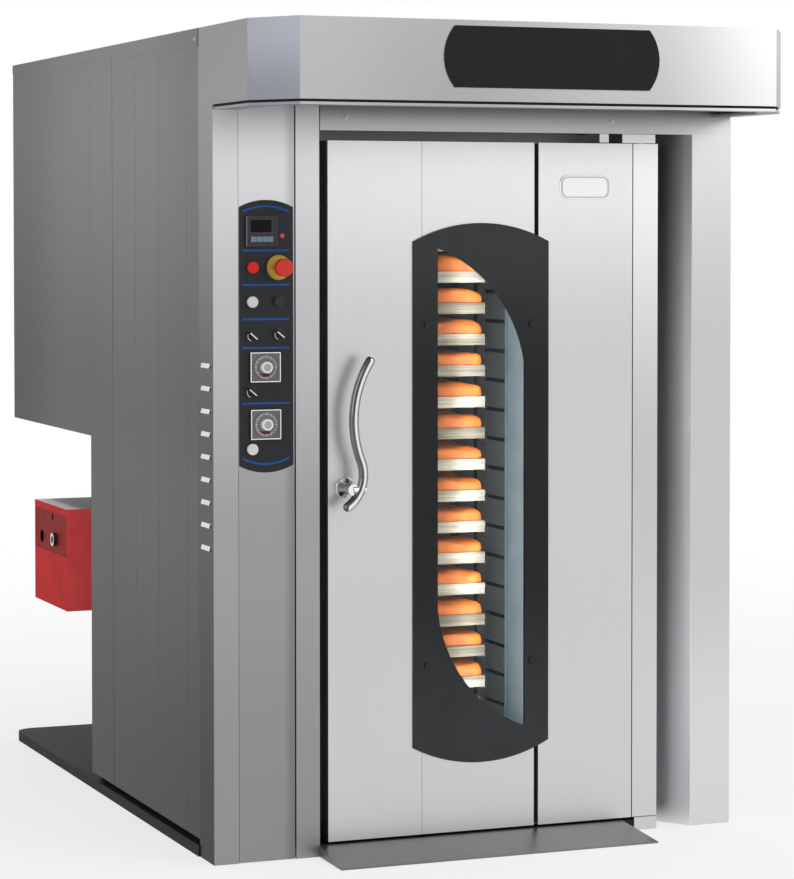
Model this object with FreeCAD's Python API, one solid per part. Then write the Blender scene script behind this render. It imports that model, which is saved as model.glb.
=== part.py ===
"""Rotating rack oven: a stainless cabinet with a front hood, a thick glazed door on the right,
a control column on the left, a burner in the recess at the rear left, and a turning rack inside.

Lengths are millimetres.  The model is drawn from the cabinet's front left corner on the floor
(X to the right, Y to the rear, Z up) and written with its origin under the middle of the whole.
"""
import FreeCAD
import Part
import os
from math import asin, atan2, cos, degrees, hypot, pi, radians, sin, tan

Vector = FreeCAD.Vector

# ---------------------------------------------------------------- driving dimensions: cabinet
WIDTH = 1535.0              # over the side panels
DEPTH = 2100.0              # front plane to rear panel
HEIGHT = 2220.0             # floor to roof
SHEET = 2.0                 # casing sheet
REAR_WALL = 108.0           # chamber's rear wall to the back of the baking module
BOX_BOTTOM = 1063.0         # underside of the rear box that overhangs the burner
PANEL_BOTTOM = 48.0         # lower edge of the side panels
PANEL_RETURN = 20.0         # folded edge of a side panel
PANEL_GAP = 1.0
SEAMS = (228.0, 485.0, 708.0)      # joints between the side panels, from the front
FOLD_Y = 942.0              # shallow fold pressed in the last side panel
POST_DEPTH = 122.0          # side face of the front corner posts
COLUMN_W = 298.0            # left column, front width
POST_STRIP_W = 70.0         # corner post's strip on the front of the left column
JAMB_STRIP_W = 67.0         # strip between the control cabinet and the doorway
RIGHT_COLUMN_W = 122.0
JAMB_ANGLE = 34.5           # splay of the right door jamb, from the cabinet's depth
FRAME_Y = 140.0             # face of the frame that the door closes on
FRAME_T = 3.0
HEADER_DROP = 272.0         # roof to the lower edge of the sheet over the door
HEADER_LIP = 12.0
HEADER_SCREW_LEFT = 52.0    # header screws, in from the door's edges
HEADER_SCREW_RIGHT = 63.0
HEADER_SCREW_UP = 34.0
HEADER_SCREW_R = 6.0

BASE_T = 30.0
BASE_LIP = 4.0
BASE_CORNER_R = 60.0
BASE_TOP_T = 5.0            # top sheet of the base, which is open below between its ribs
BASE_RIB_T = 14.0
BASE_CELL = 200.0           # rib spacing, at most
PLINTH_BAR = 20.0
RAMP_REACH = 180.0
RAMP_TOP = 32.0
RAMP_LEFT_OUT = 30.0        # its foot, past the door's left edge
RAMP_RIGHT_IN = 4.0         # its foot, short of the door's right edge
RAMP_TAPER_LEFT = 5.0       # how much narrower it is at the door, each end
RAMP_TAPER_RIGHT = 25.0
RAMP_T = 3.0
RAMP_NOSE = 4.0

CANOPY_H = 208.0
CANOPY_SIDE = 284.0         # the hood's sides, forward of the front plane
CANOPY_CORNER_X = 91.0
CANOPY_CORNER_Y = 140.0
CANOPY_REACH = CANOPY_SIDE + CANOPY_CORNER_Y
CANOPY_SHADOW = 7.0         # recess above the hood's bottom lip
CANOPY_LIP_T = 7.0
CANOPY_LIP_IN = 60.0
SIGN_W = 553.0
SIGN_H = 158.0
SIGN_BULGE = 29.0
SIGN_T = 4.0
SIGN_OFFSET = 20.5          # right of the cabinet's middle
SIGN_DROP = 94.0            # roof to its middle

FASCIA_FRONT = 49.0         # roof skirt, front and rear height
FASCIA_REAR = 27.0
FASCIA_T = 1.5

LOUVRE_COUNT = 9
LOUVRE_PITCH = 60.6
LOUVRE_LOW = 838.0
LOUVRE_Y = 27.0
LOUVRE_LEN = 72.0
LOUVRE_H = 12.0
LOUVRE_OUT = 3.5

# ---------------------------------------------------------------- driving dimensions: chamber
TABLE_OFFSET = 51.0         # turning centre, left of the door's middle
TABLE_SIDE_GAP = 32.0       # turning platform to the side walls, the frame and the rear wall
TABLE_FRONT_GAP = 87.0
TABLE_REAR_GAP = 40.0
CEILING_RISE = 20.0         # ceiling above the doorway
LINER_T = 3.0
FLOOR_T = 4.0
DOOR_LAP_SIDE = 107.0       # how far the door covers the frame round the clear opening
DOOR_LAP_TOP = 41.0
SLOT_L = 520.0
SLOT_H = 12.0
WALL_ROOM_LEFT = 70.0       # outside of the insulation to the outside of the cabinet
WALL_ROOM_RIGHT = 59.0
DUCT_FRONT = 230.0
DUCT_REAR = 1010.0
DUCT_LOW = 100.0
INSULATION_T = 100.0
INSULATION_LOW = 60.0
TOP_INSULATION_T = 58.0
STEAM_BAR = 26.0            # bars of the steam generator, and their spacing
STEAM_PITCH = 42.0
STEAM_ROWS = 9
STEAM_LEN = 560.0
STEAM_GAP = 24.0            # to the duct's walls
STEAM_LIFT = 60.0           # above the duct's floor
STEAM_SETBACK = 90.0        # behind the duct's front
STEAM_END_T = 8.0
WATER_PIPE_R = 10.0
WATER_PIPE_LIFT = 30.0

# ---------------------------------------------------------------- driving dimensions: rack
PLATFORM_R = 400.0
PLATFORM_T = 6.0
PLATFORM_Z = 40.0
SPINDLE_R = 25.0
SPINDLE_LOW = 12.0
RUN_CLEAR = 0.05            # radial clearance of a running fit
TRAY_W = 400.0
TRAY_L = 600.0
TRAY_H = 31.0
TRAY_T = 2.0
TRAY_ROOM = 60.0            # least room above the uppermost tray
TRAY_PITCH = 89.0
TRAY_LOW = 108.0            # underside of the lowest tray
TRAY_SIDE_GAP = 3.0         # tray to the runner's upright leg
POST_TUBE = 25.0
POST_WALL = 2.0
RACK_POST_INSET = 70.0      # trays overhang the posts by this at each end
RUNNER_W = 20.0
RUNNER_T = 3.0
WHEEL_R = 26.0
WHEEL_W = 22.0
WHEEL_ROOM = 7.0            # above the wheel, inside its fork
WHEEL_BOLT_R = 6.0
FORK_T = 3.0
RACK_HEADROOM = 120.0       # rack to ceiling
SHAFT_R = 20.0
SHAFT_ROOM = 8.0            # free space round the shaft in the ceiling
SHAFT_RISE = 166.0          # above the ceiling
GEAR_MODULE = 4.0
GEAR_TEETH = 80
PINION_TEETH = 16
GEAR_W = 16.0
GEAR_RISE = 85.0            # above the ceiling
GEAR_BACKLASH = 0.5         # extra centre distance
TOOTH_FILL = 0.42           # tooth thickness on the pitch circle, of one pitch
BRIDGE_RISE = 122.0         # above the ceiling
BRIDGE_T = 8.0
BRIDGE_D = 220.0
BRIDGE_INSET = 20.0         # from the chamber's left wall
BRIDGE_OVERHANG = 60.0      # past its right wall
BEARING_WALL = 22.0
BEARING_BELOW = 8.0         # bearing housing, under the shaft's end
GEARBOX_LEFT = 55.0         # from the pinion's axis
GEARBOX_RIGHT = 75.0
GEARBOX_D = 120.0
GEARBOX_H = 70.0
GEARMOTOR_LEN = 160.0
GEARMOTOR_R = 46.0
GEARMOTOR_LIFT = 50.0
PINION_SHAFT_R = 12.0

# ---------------------------------------------------------------- driving dimensions: hot side
FAN_X = 560.0
FAN_Y = 1640.0
FAN_R = 235.0
FAN_BLADES = 10
FAN_DROP = 170.0            # deck to the fan wheel's inlet
FAN_H = 110.0
FAN_SHAFT_R = 16.0
DECK_DROP = 305.0           # roof to the deck's underside
DECK_T = 40.0
DECK_SHEET = 3.0
FAN_SHAFT_ENTRY = 40.0      # how far the fan shaft runs up into the motor
MOTOR_R = 92.0
MOTOR_H = 165.0
CASING_X = 420.0            # left wall of the lower rear casing, which carries the burner
DRUM_R = 200.0
DRUM_GAP = 32.0             # casing wall to the fire drum
DRUM_RIGHT = 1330.0
PLATE_T = 4.0
TUBE_R = 30.0
TUBE_COLUMNS = 6
TUBE_ROWS = 3
TUBE_PITCH = 140.0
BANK_LOW = 1120.0
BANK_FAN_GAP = 105.0        # tube bank to the fan wheel
HEADER_BOX_H = 90.0
FLUE_INSET = 150.0          # flue's axis, in from the drum's right end
FLUE_R = 74.0
FLUE_T = 2.0
SPIGOT_R = 75.0             # outside of the two spigots, which take 150 mm pipes
FLUE_STAND = 50.0           # spigots above the roof
FLASHING_W = 30.0           # plates that close the roof round a spigot
FLASHING_T = 2.0
SPIGOT_GAP = 2.0            # spigot above its flashing
ROOF_HOLE_GAP = 1.0         # round a spigot
VENT_OUTLET = 103.0         # side of the square outlet in the ceiling, under the vent's tube
VENT_X = 500.0
VENT_Y = 420.0
DAMPER_DROP = 130.0         # roof to the damper's axis
DAMPER_GAP = 2.0
DAMPER_SHAFT_R = 6.0

# ---------------------------------------------------------------- driving dimensions: burner
BURNER_LEFT = 10.0
BURNER_FRONT = 1492.0
BURNER_LEN = 388.0          # along Y
BURNER_LOW = 493.0
BURNER_H = 318.0
BURNER_W = 270.0            # along X
BURNER_LID = 14.0
BLAST_R = 55.0
BLAST_WALL = 3.0
FLANGE_R = 95.0
FLANGE_T = 10.0
RESET_BACK = 137.0          # from the burner's front
RESET_UP = 212.0            # from its underside
PORT_BACK = 303.0
PORT_UP = 207.0
RESET_R = 10.0
RESET_ROOM = 2.0             # round the reset, inside its collar
SOCKET_W = 40.0
SOCKET_H = 42.0
SOCKET_OUT = 11.0            # the collar round the reset, from the casing
RESET_TRAVEL = 3.0

# ---------------------------------------------------------------- driving dimensions: door
DOOR_GAP_LEFT = 24.0        # left column to the door
DOOR_GAP_RIGHT = 187.0      # door to the right column
DOOR_LOW = 38.0
DOOR_GAP_TOP = 27.0         # door to the sheet above it
DOOR_T = 126.0
SKIN_T = 16.0               # depth of the three front pans
SEAM_IN = 26.5              # left seam, right of the window's left edge
SKIN_GAP = 1.0
GROOVE_W = 12.0
SKIN_RIGHT_W = 286.0        # right pan
STILE_GAP = 3.0
STILE_W = 76.0
STILE_DEPTH = 50.0
STILE_WALL = 3.0
HINGE_INSET = 33.0          # pin's axis, from the stile's left edge
HINGE_Y = 25.0
PIN_R = 12.0
PIN_LEN = 22.0
BRACKET_GAP = 2.0
HINGE_SIDE = 14.0           # metal beside the pin in the lower block
LOW_BRACKET_DEPTH = 58.0
TOP_BRACKET_LEFT = 65.0     # top plate, left of the pin's axis
TOP_BRACKET_SHORT = 6.0     # top plate, short of the stile's right edge
TOP_BRACKET_FRONT = 4.0
STOP_IN = 66.0              # stop block, in from the door's right edge
STOP_W = 28.0
STOP_FRONT = 14.0
WINDOW_W = 401.0
WINDOW_OVER = 28.0          # right edge past the groove
WINDOW_LOW = 275.0          # where the arc ends start
WINDOW_DROP = 270.0         # door's top to the upper arc's ends
WINDOW_RISE = 50.0
SURROUND_T = 1.5            # black surround on the outer pane
OUTER_GLASS_T = 4.5
LEAF_IN_LEFT = 71.0         # viewing leaf, in from the surround's edges
LEAF_IN_RIGHT = 72.0
LEAF_IN_LOW = 43.0
LEAF_IN_HIGH = 19.0
LEAF_CURVE_H = 334.0        # height of each long curve
LEAF_BEND = (0.3125, 0.61)  # a point on it, as shares of its width and height
APERTURE_MARGIN = 6.0       # opening behind the leaf, beyond its sides
APERTURE_BELOW = 18.0
APERTURE_ABOVE = 18.0
INNER_GLASS_T = 6.0
INNER_GLASS_LIP = 8.0       # how far the inner pane bears on the sheet behind it
INNER_GLASS_CLEAR = 1.0
SCREW_IN_LEFT = 42.0        # window screws, in from the surround's edges
SCREW_IN_RIGHT = 49.0
SCREW_IN_LOW = 223.0
SCREW_IN_HIGH = 227.0
SCREW_HEAD_R = 11.0
SCREW_HEAD_T = 4.0
SCREW_R = 4.0
SCREW_CLEAR = 0.5
GASKET_W = 24.0
GASKET_GAP = 0.5

# ---------------------------------------------------------------- driving dimensions: handle
HANDLE_INSET = 48.5         # spindle, from the door's left edge
HANDLE_Z = 990.0
ROSETTE_R = 29.0
ROSETTE_T = 8.0
HANDLE_SPINDLE_R = 10.0
HANDLE_ROOM = 4.0           # free space round the spindle inside the door
HANDLE_Y = -62.0            # plane of the S-shaped grip
GRIP_R = 13.0
GRIP_TOP_AT = (48.3, 342.7)     # points on the grip's line, right of and above the spindle
GRIP_LEFTMOST_AT = (2.5, 199.7)
GRIP_TURN_AT = (22.3, 76.4)
GRIP_END_AT = (-15.1, -45.2)
LATCH_ANGLE = 45.0
LATCH_TRAVEL = 34.0
LATCH_PIN_R = 5.0
LATCH_SLOT_CLEAR = 2.0
BOLT_H = 26.0
BOLT_T = 14.0
BOLT_LEN = 96.0
BOLT_Y = 62.0
BOLT_CLEAR = 1.0
TAIL_WALL = 4.0
CRANK_T = 6.0
CRANK_HALF_W = 7.0
LATCH_ROOM = 16.0           # depth of the free space in front of the bolt
KEEPER_DEPTH = 26.0

# ---------------------------------------------------------------- driving dimensions: controls
PLATE_IN_LEFT = 2.0         # from the corner post's strip
PLATE_IN_RIGHT = 8.0        # from the jamb strip
PLATE_BELOW = 44.0          # lowest device to the lower arc's ends
PLATE_ABOVE = 64.0          # controller to the upper arc's ends
PLATE_RISE = 19.0
PLATE_THICK = 2.0
CUTOUT_MARGIN = 14.0
CONTROL_Z = 1102.0          # lowest device; the others are placed from it and from the plate's middle
CONTROLLER_AT = (-14.5, 577.0)
CONTROLLER_W = 88.0
CONTROLLER_H = 81.0
TIMERS_AT = ((-5.0, 217.0), (-4.0, 65.0))
TIMER_W = 84.5
TIMER_H = 79.0
BEZEL_T = 8.0
BODY_SHRINK = 5.0           # instrument body inside its bezel, each side
BODY_DEPTH = 60.0
LAMP_AT = (-39.5, 481.0)
ESTOP_AT = (34.5, 481.0)
START_AT = (-41.5, 390.0)
STOP_AT = (33.5, 391.0)
STEAM_AT = (-42.0, 0.0)
SELECTORS_AT = ((-41.5, 300.0), (34.5, 303.0), (-43.5, 151.0))
LAMP_R = 17.0
BUTTON_R = 15.0
BUTTON_H = 8.0
BUTTON_STEM_R = 8.0
BUTTON_TRAVEL = 3.5
COLLAR_R = 17.0
COLLAR_T = 2.0
SWITCH_DEPTH = 40.0
SWITCH_R = 13.0
ESTOP_BASE_R = 33.0
ESTOP_BASE_T = 4.0
ESTOP_CAP_R = 24.0
ESTOP_CAP_T = 24.0
ESTOP_TRAVEL = 6.0
ESTOP_NECK_R = 11.0
ESTOP_NECK_LEN = 20.0
KNOB_R = 14.0
KNOB_H = 18.0
DIAL_R = 33.0
TIMER_KNOB_R = 15.0

# ---------------------------------------------------------------- values that follow
def on_plate(place):
    """A device's centre from its place on the control plate."""
    return PLATE_MIDDLE + place[0], CONTROL_Z + place[1]


def beside_spindle(place):
    """A point in the grip's plane from its place beside the handle's spindle."""
    return HANDLE_X + place[0], HANDLE_Z + place[1]


CABINET_RIGHT = COLUMN_W - JAMB_STRIP_W
RIGHT_COLUMN_X = WIDTH - RIGHT_COLUMN_W
CANOPY_BOTTOM = HEIGHT - CANOPY_H
SIGN_X = WIDTH / 2 + SIGN_OFFSET
SIGN_Z = HEIGHT - SIGN_DROP
HEADER_BOTTOM = HEIGHT - HEADER_DROP

DOOR_LEFT = COLUMN_W + DOOR_GAP_LEFT
DOOR_RIGHT = RIGHT_COLUMN_X - DOOR_GAP_RIGHT
DOOR_TOP = HEADER_BOTTOM - DOOR_GAP_TOP
DOOR_MIDDLE = (DOOR_LEFT + DOOR_RIGHT) / 2
DOORWAY_LEFT = DOOR_LEFT + DOOR_LAP_SIDE
DOORWAY_RIGHT = DOOR_RIGHT - DOOR_LAP_SIDE
DOORWAY_TOP = DOOR_TOP - DOOR_LAP_TOP
STILE_LEFT = DOOR_RIGHT + STILE_GAP
STILE_RIGHT = STILE_LEFT + STILE_W
HINGE_X = STILE_LEFT + HINGE_INSET
GROOVE_RIGHT = DOOR_RIGHT - SKIN_RIGHT_W
GROOVE_LEFT = GROOVE_RIGHT - GROOVE_W
WINDOW_RIGHT = GROOVE_RIGHT + WINDOW_OVER
WINDOW_LEFT = WINDOW_RIGHT - WINDOW_W
WINDOW_HIGH = DOOR_TOP - WINDOW_DROP
SKIN_SEAM_X = WINDOW_LEFT + SEAM_IN
LEAF_LEFT = WINDOW_LEFT + LEAF_IN_LEFT
LEAF_RIGHT = WINDOW_RIGHT - LEAF_IN_RIGHT
LEAF_LOW = WINDOW_LOW + LEAF_IN_LOW        # lower tip, on the right edge
LEAF_HIGH = WINDOW_HIGH - LEAF_IN_HIGH     # upper tip, on the left edge
APERTURE_LEFT = LEAF_LEFT - APERTURE_MARGIN
APERTURE_RIGHT = LEAF_RIGHT + APERTURE_MARGIN
APERTURE_LOW = LEAF_LOW - APERTURE_BELOW
APERTURE_HIGH = LEAF_HIGH + APERTURE_ABOVE
SCREW_X = (WINDOW_LEFT + SCREW_IN_LEFT, WINDOW_RIGHT - SCREW_IN_RIGHT)
SCREW_Z = (WINDOW_LOW + SCREW_IN_LOW, WINDOW_HIGH - SCREW_IN_HIGH)
WINDOW_T = SURROUND_T + OUTER_GLASS_T
BRACKET_TOP_LOW = DOOR_TOP + BRACKET_GAP
BRACKET_LOW_TOP = DOOR_LOW - BRACKET_GAP
RAMP_LEFT = DOOR_LEFT - RAMP_LEFT_OUT
RAMP_RIGHT = DOOR_RIGHT - RAMP_RIGHT_IN

CHAMBER_FRONT = FRAME_Y + FRAME_T
TABLE_X = DOOR_MIDDLE - TABLE_OFFSET
TABLE_Y = CHAMBER_FRONT + TABLE_FRONT_GAP + PLATFORM_R
CHAMBER_LEFT = TABLE_X - PLATFORM_R - TABLE_SIDE_GAP
CHAMBER_RIGHT = TABLE_X + PLATFORM_R + TABLE_SIDE_GAP
CHAMBER_REAR = TABLE_Y + PLATFORM_R + TABLE_REAR_GAP
CHAMBER_TOP = DOORWAY_TOP + CEILING_RISE
MODULE_DEPTH = CHAMBER_REAR + REAR_WALL    # the baking module, which stands on the floor
DUCT_LEFT_W = CHAMBER_LEFT - LINER_T - INSULATION_T - WALL_ROOM_LEFT
DUCT_RIGHT_W = WIDTH - WALL_ROOM_RIGHT - INSULATION_T - LINER_T - CHAMBER_RIGHT
FLOOR_TOP = BASE_T + FLOOR_T
BASE_FRONT = FRAME_Y + 12.0

RACK_TOP = CHAMBER_TOP - RACK_HEADROOM
RACK_LOW = PLATFORM_Z + PLATFORM_T
TRAY_COUNT = int((RACK_TOP - POST_TUBE - TRAY_ROOM - TRAY_H - TRAY_LOW) // TRAY_PITCH) + 1
RUNNER_X = TRAY_W / 2 + TRAY_SIDE_GAP      # inner face of a runner's upright leg, from the turning centre
RACK_POST_X = RUNNER_X + RUNNER_T
RACK_POST_Y = TRAY_L / 2 - RACK_POST_INSET
POST_LOW = RACK_LOW + 2 * WHEEL_R + WHEEL_ROOM
SHAFT_TOP = CHAMBER_TOP + SHAFT_RISE
GEAR_Z = CHAMBER_TOP + GEAR_RISE
BRIDGE_Z = CHAMBER_TOP + BRIDGE_RISE
GEAR_PITCH_R = GEAR_MODULE * GEAR_TEETH / 2
PINION_PITCH_R = GEAR_MODULE * PINION_TEETH / 2
PINION_X = TABLE_X + GEAR_PITCH_R + PINION_PITCH_R + GEAR_BACKLASH

DECK_Z = HEIGHT - DECK_DROP
FAN_Z = DECK_Z - FAN_DROP
BANK_HIGH = FAN_Z - BANK_FAN_GAP
DAMPER_Z = HEIGHT - DAMPER_DROP
BURNER_Y = BURNER_FRONT + BURNER_LEN / 2
BURNER_Z = BURNER_LOW + BURNER_H / 2
BURNER_RIGHT = BURNER_LEFT + BURNER_W
RESET_Y = BURNER_FRONT + RESET_BACK
RESET_Z = BURNER_LOW + RESET_UP
PORT_Y = BURNER_FRONT + PORT_BACK
PORT_Z = BURNER_LOW + PORT_UP
DRUM_LEFT = CASING_X + DRUM_GAP
DRUM_Y = BURNER_Y
FLUE_X = DRUM_RIGHT - FLUE_INSET
SPIGOT_LOW = HEIGHT + FLASHING_T + SPIGOT_GAP
SPIGOT_TOP = HEIGHT + FLUE_STAND

HANDLE_X = DOOR_LEFT + HANDLE_INSET
GRIP_TOP, GRIP_LEFTMOST, GRIP_TURN, GRIP_END = [
    beside_spindle(place) for place in (GRIP_TOP_AT, GRIP_LEFTMOST_AT, GRIP_TURN_AT, GRIP_END_AT)]
LATCH_ARM = LATCH_TRAVEL / sin(radians(LATCH_ANGLE))

PLATE_LEFT = POST_STRIP_W + PLATE_IN_LEFT
PLATE_RIGHT = CABINET_RIGHT - PLATE_IN_RIGHT
PLATE_MIDDLE = (PLATE_LEFT + PLATE_RIGHT) / 2
CONTROLLER = on_plate(CONTROLLER_AT) + (CONTROLLER_W, CONTROLLER_H)
TIMERS = [on_plate(place) for place in TIMERS_AT]
SELECTORS = [on_plate(place) for place in SELECTORS_AT]
LAMP = on_plate(LAMP_AT)
ESTOP = on_plate(ESTOP_AT)
START = on_plate(START_AT)
STOP = on_plate(STOP_AT)
STEAM = on_plate(STEAM_AT)
PLATE_LOW = STEAM[1] - PLATE_BELOW
PLATE_HIGH = CONTROLLER[1] + PLATE_ABOVE

FRONT_REACH = CANOPY_REACH + SIGN_T
ORIGIN = Vector(-WIDTH / 2, -(DEPTH - FRONT_REACH) / 2, 0)


# ---------------------------------------------------------------- shape helpers
def box(x0, x1, y0, y1, z0, z1):
    """A block between two corners."""
    return Part.makeBox(x1 - x0, y1 - y0, z1 - z0, Vector(x0, y0, z0))


def polygon(points):
    """A closed flat face from its corner points."""
    corners = [Vector(*p) for p in points]
    return Part.Face(Part.makePolygon(corners + corners[:1]))


def prism_z(points, z0, z1):
    """A plan outline raised from z0 to z1."""
    return polygon([(x, y, z0) for x, y in points]).extrude(Vector(0, 0, z1 - z0))


def prism_x(points, x0, x1):
    """An outline of (y, z) points drawn out along X."""
    return polygon([(x0, y, z) for y, z in points]).extrude(Vector(x1 - x0, 0, 0))


def rod_x(x0, x1, y, z, r):
    return Part.makeCylinder(r, x1 - x0, Vector(x0, y, z), Vector(1, 0, 0))


def rod_y(x, z, y0, y1, r):
    return Part.makeCylinder(r, y1 - y0, Vector(x, y0, z), Vector(0, 1, 0))


def rod_z(x, y, z0, z1, r):
    return Part.makeCylinder(r, z1 - z0, Vector(x, y, z0), Vector(0, 0, 1))


def fuse(shapes):
    """One solid from shapes that touch or overlap."""
    whole = shapes[0].multiFuse(shapes[1:]) if len(shapes) > 1 else shapes[0]
    return whole.removeSplitter()


def group(shapes):
    """Separate solids that share one node."""
    return Part.makeCompound(shapes)


def mirrored(shape):
    """The same shape on the cabinet's other side."""
    return shape.mirror(Vector(WIDTH / 2, 0, 0), Vector(1, 0, 0))


def pan(x0, x1, y0, y1, z0, z1, wall, open_side):
    """A folded sheet pan: a box with one open side, named by an axis and a sign such as "+x"."""
    inner = {"x": [x0 + wall, x1 - wall], "y": [y0 + wall, y1 - wall], "z": [z0 + wall, z1 - wall]}
    axis, side = open_side[1], open_side[0] == "+"
    inner[axis][1 if side else 0] += 2 * wall if side else -2 * wall
    return box(x0, x1, y0, y1, z0, z1).cut(box(*inner["x"], *inner["y"], *inner["z"]))


def arc_ended_plate(x0, x1, z0, z1, rise, y0, y1):
    """An upright plate whose top and bottom edges bow out by rise."""
    mid = (x0 + x1) / 2
    edges = [Part.LineSegment(Vector(x0, y0, z0), Vector(x0, y0, z1)),
             Part.Arc(Vector(x0, y0, z1), Vector(mid, y0, z1 + rise), Vector(x1, y0, z1)),
             Part.LineSegment(Vector(x1, y0, z1), Vector(x1, y0, z0)),
             Part.Arc(Vector(x1, y0, z0), Vector(mid, y0, z0 - rise), Vector(x0, y0, z0))]
    wire = Part.Wire([e.toShape() for e in edges])
    return Part.Face(wire).extrude(Vector(0, y1 - y0, 0))


def leaf_plate(y0, y1):
    """The viewing leaf: two straight sides and two long curves, the same when turned half round."""
    x0, x1, z0, z1 = LEAF_LEFT, LEAF_RIGHT, LEAF_LOW, LEAF_HIGH
    low_bend, high_bend = z0 + LEAF_CURVE_H, z1 - LEAF_CURVE_H

    def curve(start, through, end):
        return Part.Arc(Vector(start[0], y0, start[1]), Vector(through[0], y0, through[1]),
                        Vector(end[0], y0, end[1]))
    low_through = (x0 + LEAF_BEND[0] * (x1 - x0), low_bend - LEAF_BEND[1] * LEAF_CURVE_H)
    high_through = (x0 + x1 - low_through[0], z0 + z1 - low_through[1])
    edges = [Part.LineSegment(Vector(x0, y0, z1), Vector(x0, y0, low_bend)),
             curve((x0, low_bend), low_through, (x1, z0)),
             Part.LineSegment(Vector(x1, y0, z0), Vector(x1, y0, high_bend)),
             curve((x1, high_bend), high_through, (x0, z1))]
    wire = Part.Wire([e.toShape() for e in edges])
    return Part.Face(wire).extrude(Vector(0, y1 - y0, 0))


def toothed_wheel(teeth, width, z, centre_x, centre_y, turn):
    """A spur wheel with straight-flanked teeth; turn is the angle of its first tooth."""
    pitch_r = GEAR_MODULE * teeth / 2
    tip_r, root_r = pitch_r + 0.9 * GEAR_MODULE, pitch_r - 1.2 * GEAR_MODULE
    half = pi * TOOTH_FILL / teeth
    slope = tan(radians(20.0)) * GEAR_MODULE
    tip_half = half - 0.9 * slope / tip_r
    root_half = half + 1.2 * slope / root_r
    points = []
    for n in range(teeth):
        middle = radians(turn) + 2 * pi * n / teeth
        for radius, offset in ((root_r, -root_half), (tip_r, -tip_half), (tip_r, tip_half),
                               (root_r, root_half)):
            points.append((centre_x + radius * cos(middle + offset),
                           centre_y + radius * sin(middle + offset)))
    return prism_z(points, z, z + width)


# ---------------------------------------------------------------- base and floor
def base_cells(x0, x1, y0, y1):
    """Pockets between the ribs, as even as the space allows."""
    columns = max(1, int((x1 - x0) // BASE_CELL) + 1)
    rows = max(1, int((y1 - y0) // BASE_CELL) + 1)
    dx, dy = (x1 - x0) / columns, (y1 - y0) / rows
    half = BASE_RIB_T / 2
    return [box(x0 + c * dx + half, x0 + (c + 1) * dx - half, y0 + r * dy + half, y0 + (r + 1) * dy - half,
                -1, BASE_T - BASE_TOP_T) for c in range(columns) for r in range(rows)]


def plinth_bars():
    """The recessed bars that carry the side panels, following the casing's outline."""
    x0, x1 = PANEL_RETURN + SHEET, WIDTH - PANEL_RETURN - SHEET
    y1, y2, step = MODULE_DEPTH - 2 * PANEL_RETURN, DEPTH - 2 * PANEL_RETURN, CASING_X + PANEL_RETURN
    front, bar = POST_DEPTH + PANEL_GAP, PLINTH_BAR
    plan = [(x0, x0 + bar, front, y1), (x0, step + bar, y1, y1 + bar), (step, step + bar, y1 + bar, y2),
            (step, x1, y2, y2 + bar), (x1 - bar, x1, front, y2)]
    return [box(*place, BASE_T, PANEL_BOTTOM) for place in plan]


def base_plate():
    """The floor frame, with a tongue into the doorway and a seat for the table's spindle."""
    notch = CABINET_RIGHT - SHEET
    right_notch = RIGHT_COLUMN_X + SHEET
    tongue_left, tongue_right = COLUMN_W + SHEET, HINGE_X - PIN_R - HINGE_SIDE
    front = POST_DEPTH + PANEL_GAP
    outline = [(-BASE_LIP, front), (notch, front), (notch, BASE_FRONT), (tongue_left, BASE_FRONT),
               (tongue_left, SHEET), (tongue_right, SHEET), (tongue_right, BASE_FRONT),
               (right_notch, BASE_FRONT), (right_notch, front), (WIDTH + BASE_LIP, front),
               (WIDTH + BASE_LIP, DEPTH), (-BASE_LIP, DEPTH)]
    plate = prism_z(outline, 0, BASE_T)
    rear_edges = [e for e in plate.Edges
                  if abs(e.BoundBox.YMin - DEPTH) < 1e-6 and e.BoundBox.ZLength > BASE_T / 2
                  and e.BoundBox.XLength < 1e-6]
    plate = plate.makeFillet(BASE_CORNER_R, rear_edges)
    rim = BASE_RIB_T / 2
    cells = base_cells(rim, WIDTH - rim, BASE_FRONT + rim, DEPTH - BASE_CORNER_R)
    cells += base_cells(tongue_left + rim, tongue_right - rim, SHEET + rim, BASE_FRONT)
    boss = rod_z(TABLE_X, TABLE_Y, 0, BASE_T, 2 * SPINDLE_R)
    seat = rod_z(TABLE_X, TABLE_Y, SPINDLE_LOW - 2.0, BASE_T + 1, SPINDLE_R + RUN_CLEAR)
    return group([fuse([plate.cut(group(cells)), boss]).cut(seat)] + plinth_bars())


def threshold_ramp():
    """The folded ramp that the rack rolls up, hollow underneath."""
    outer = [(0, 0), (0, RAMP_TOP), (-RAMP_REACH + RAMP_NOSE, RAMP_NOSE), (-RAMP_REACH, 0)]
    inner = [(-RAMP_T, -1), (-RAMP_T, RAMP_TOP - RAMP_T - 1),
             (-RAMP_REACH + 8 * RAMP_NOSE, RAMP_NOSE), (-RAMP_REACH + 6 * RAMP_NOSE, -1)]
    top_left, top_right = RAMP_LEFT + RAMP_TAPER_LEFT, RAMP_RIGHT - RAMP_TAPER_RIGHT
    plan = prism_z([(top_left, 0), (top_right, 0), (RAMP_RIGHT, -RAMP_REACH), (RAMP_LEFT, -RAMP_REACH)],
                   0, RAMP_TOP)
    ramp = prism_x(outer, RAMP_LEFT, RAMP_RIGHT).common(plan)
    return ramp.cut(prism_x(inner, top_left + RAMP_T, top_right - RAMP_T)).removeSplitter()


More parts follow.
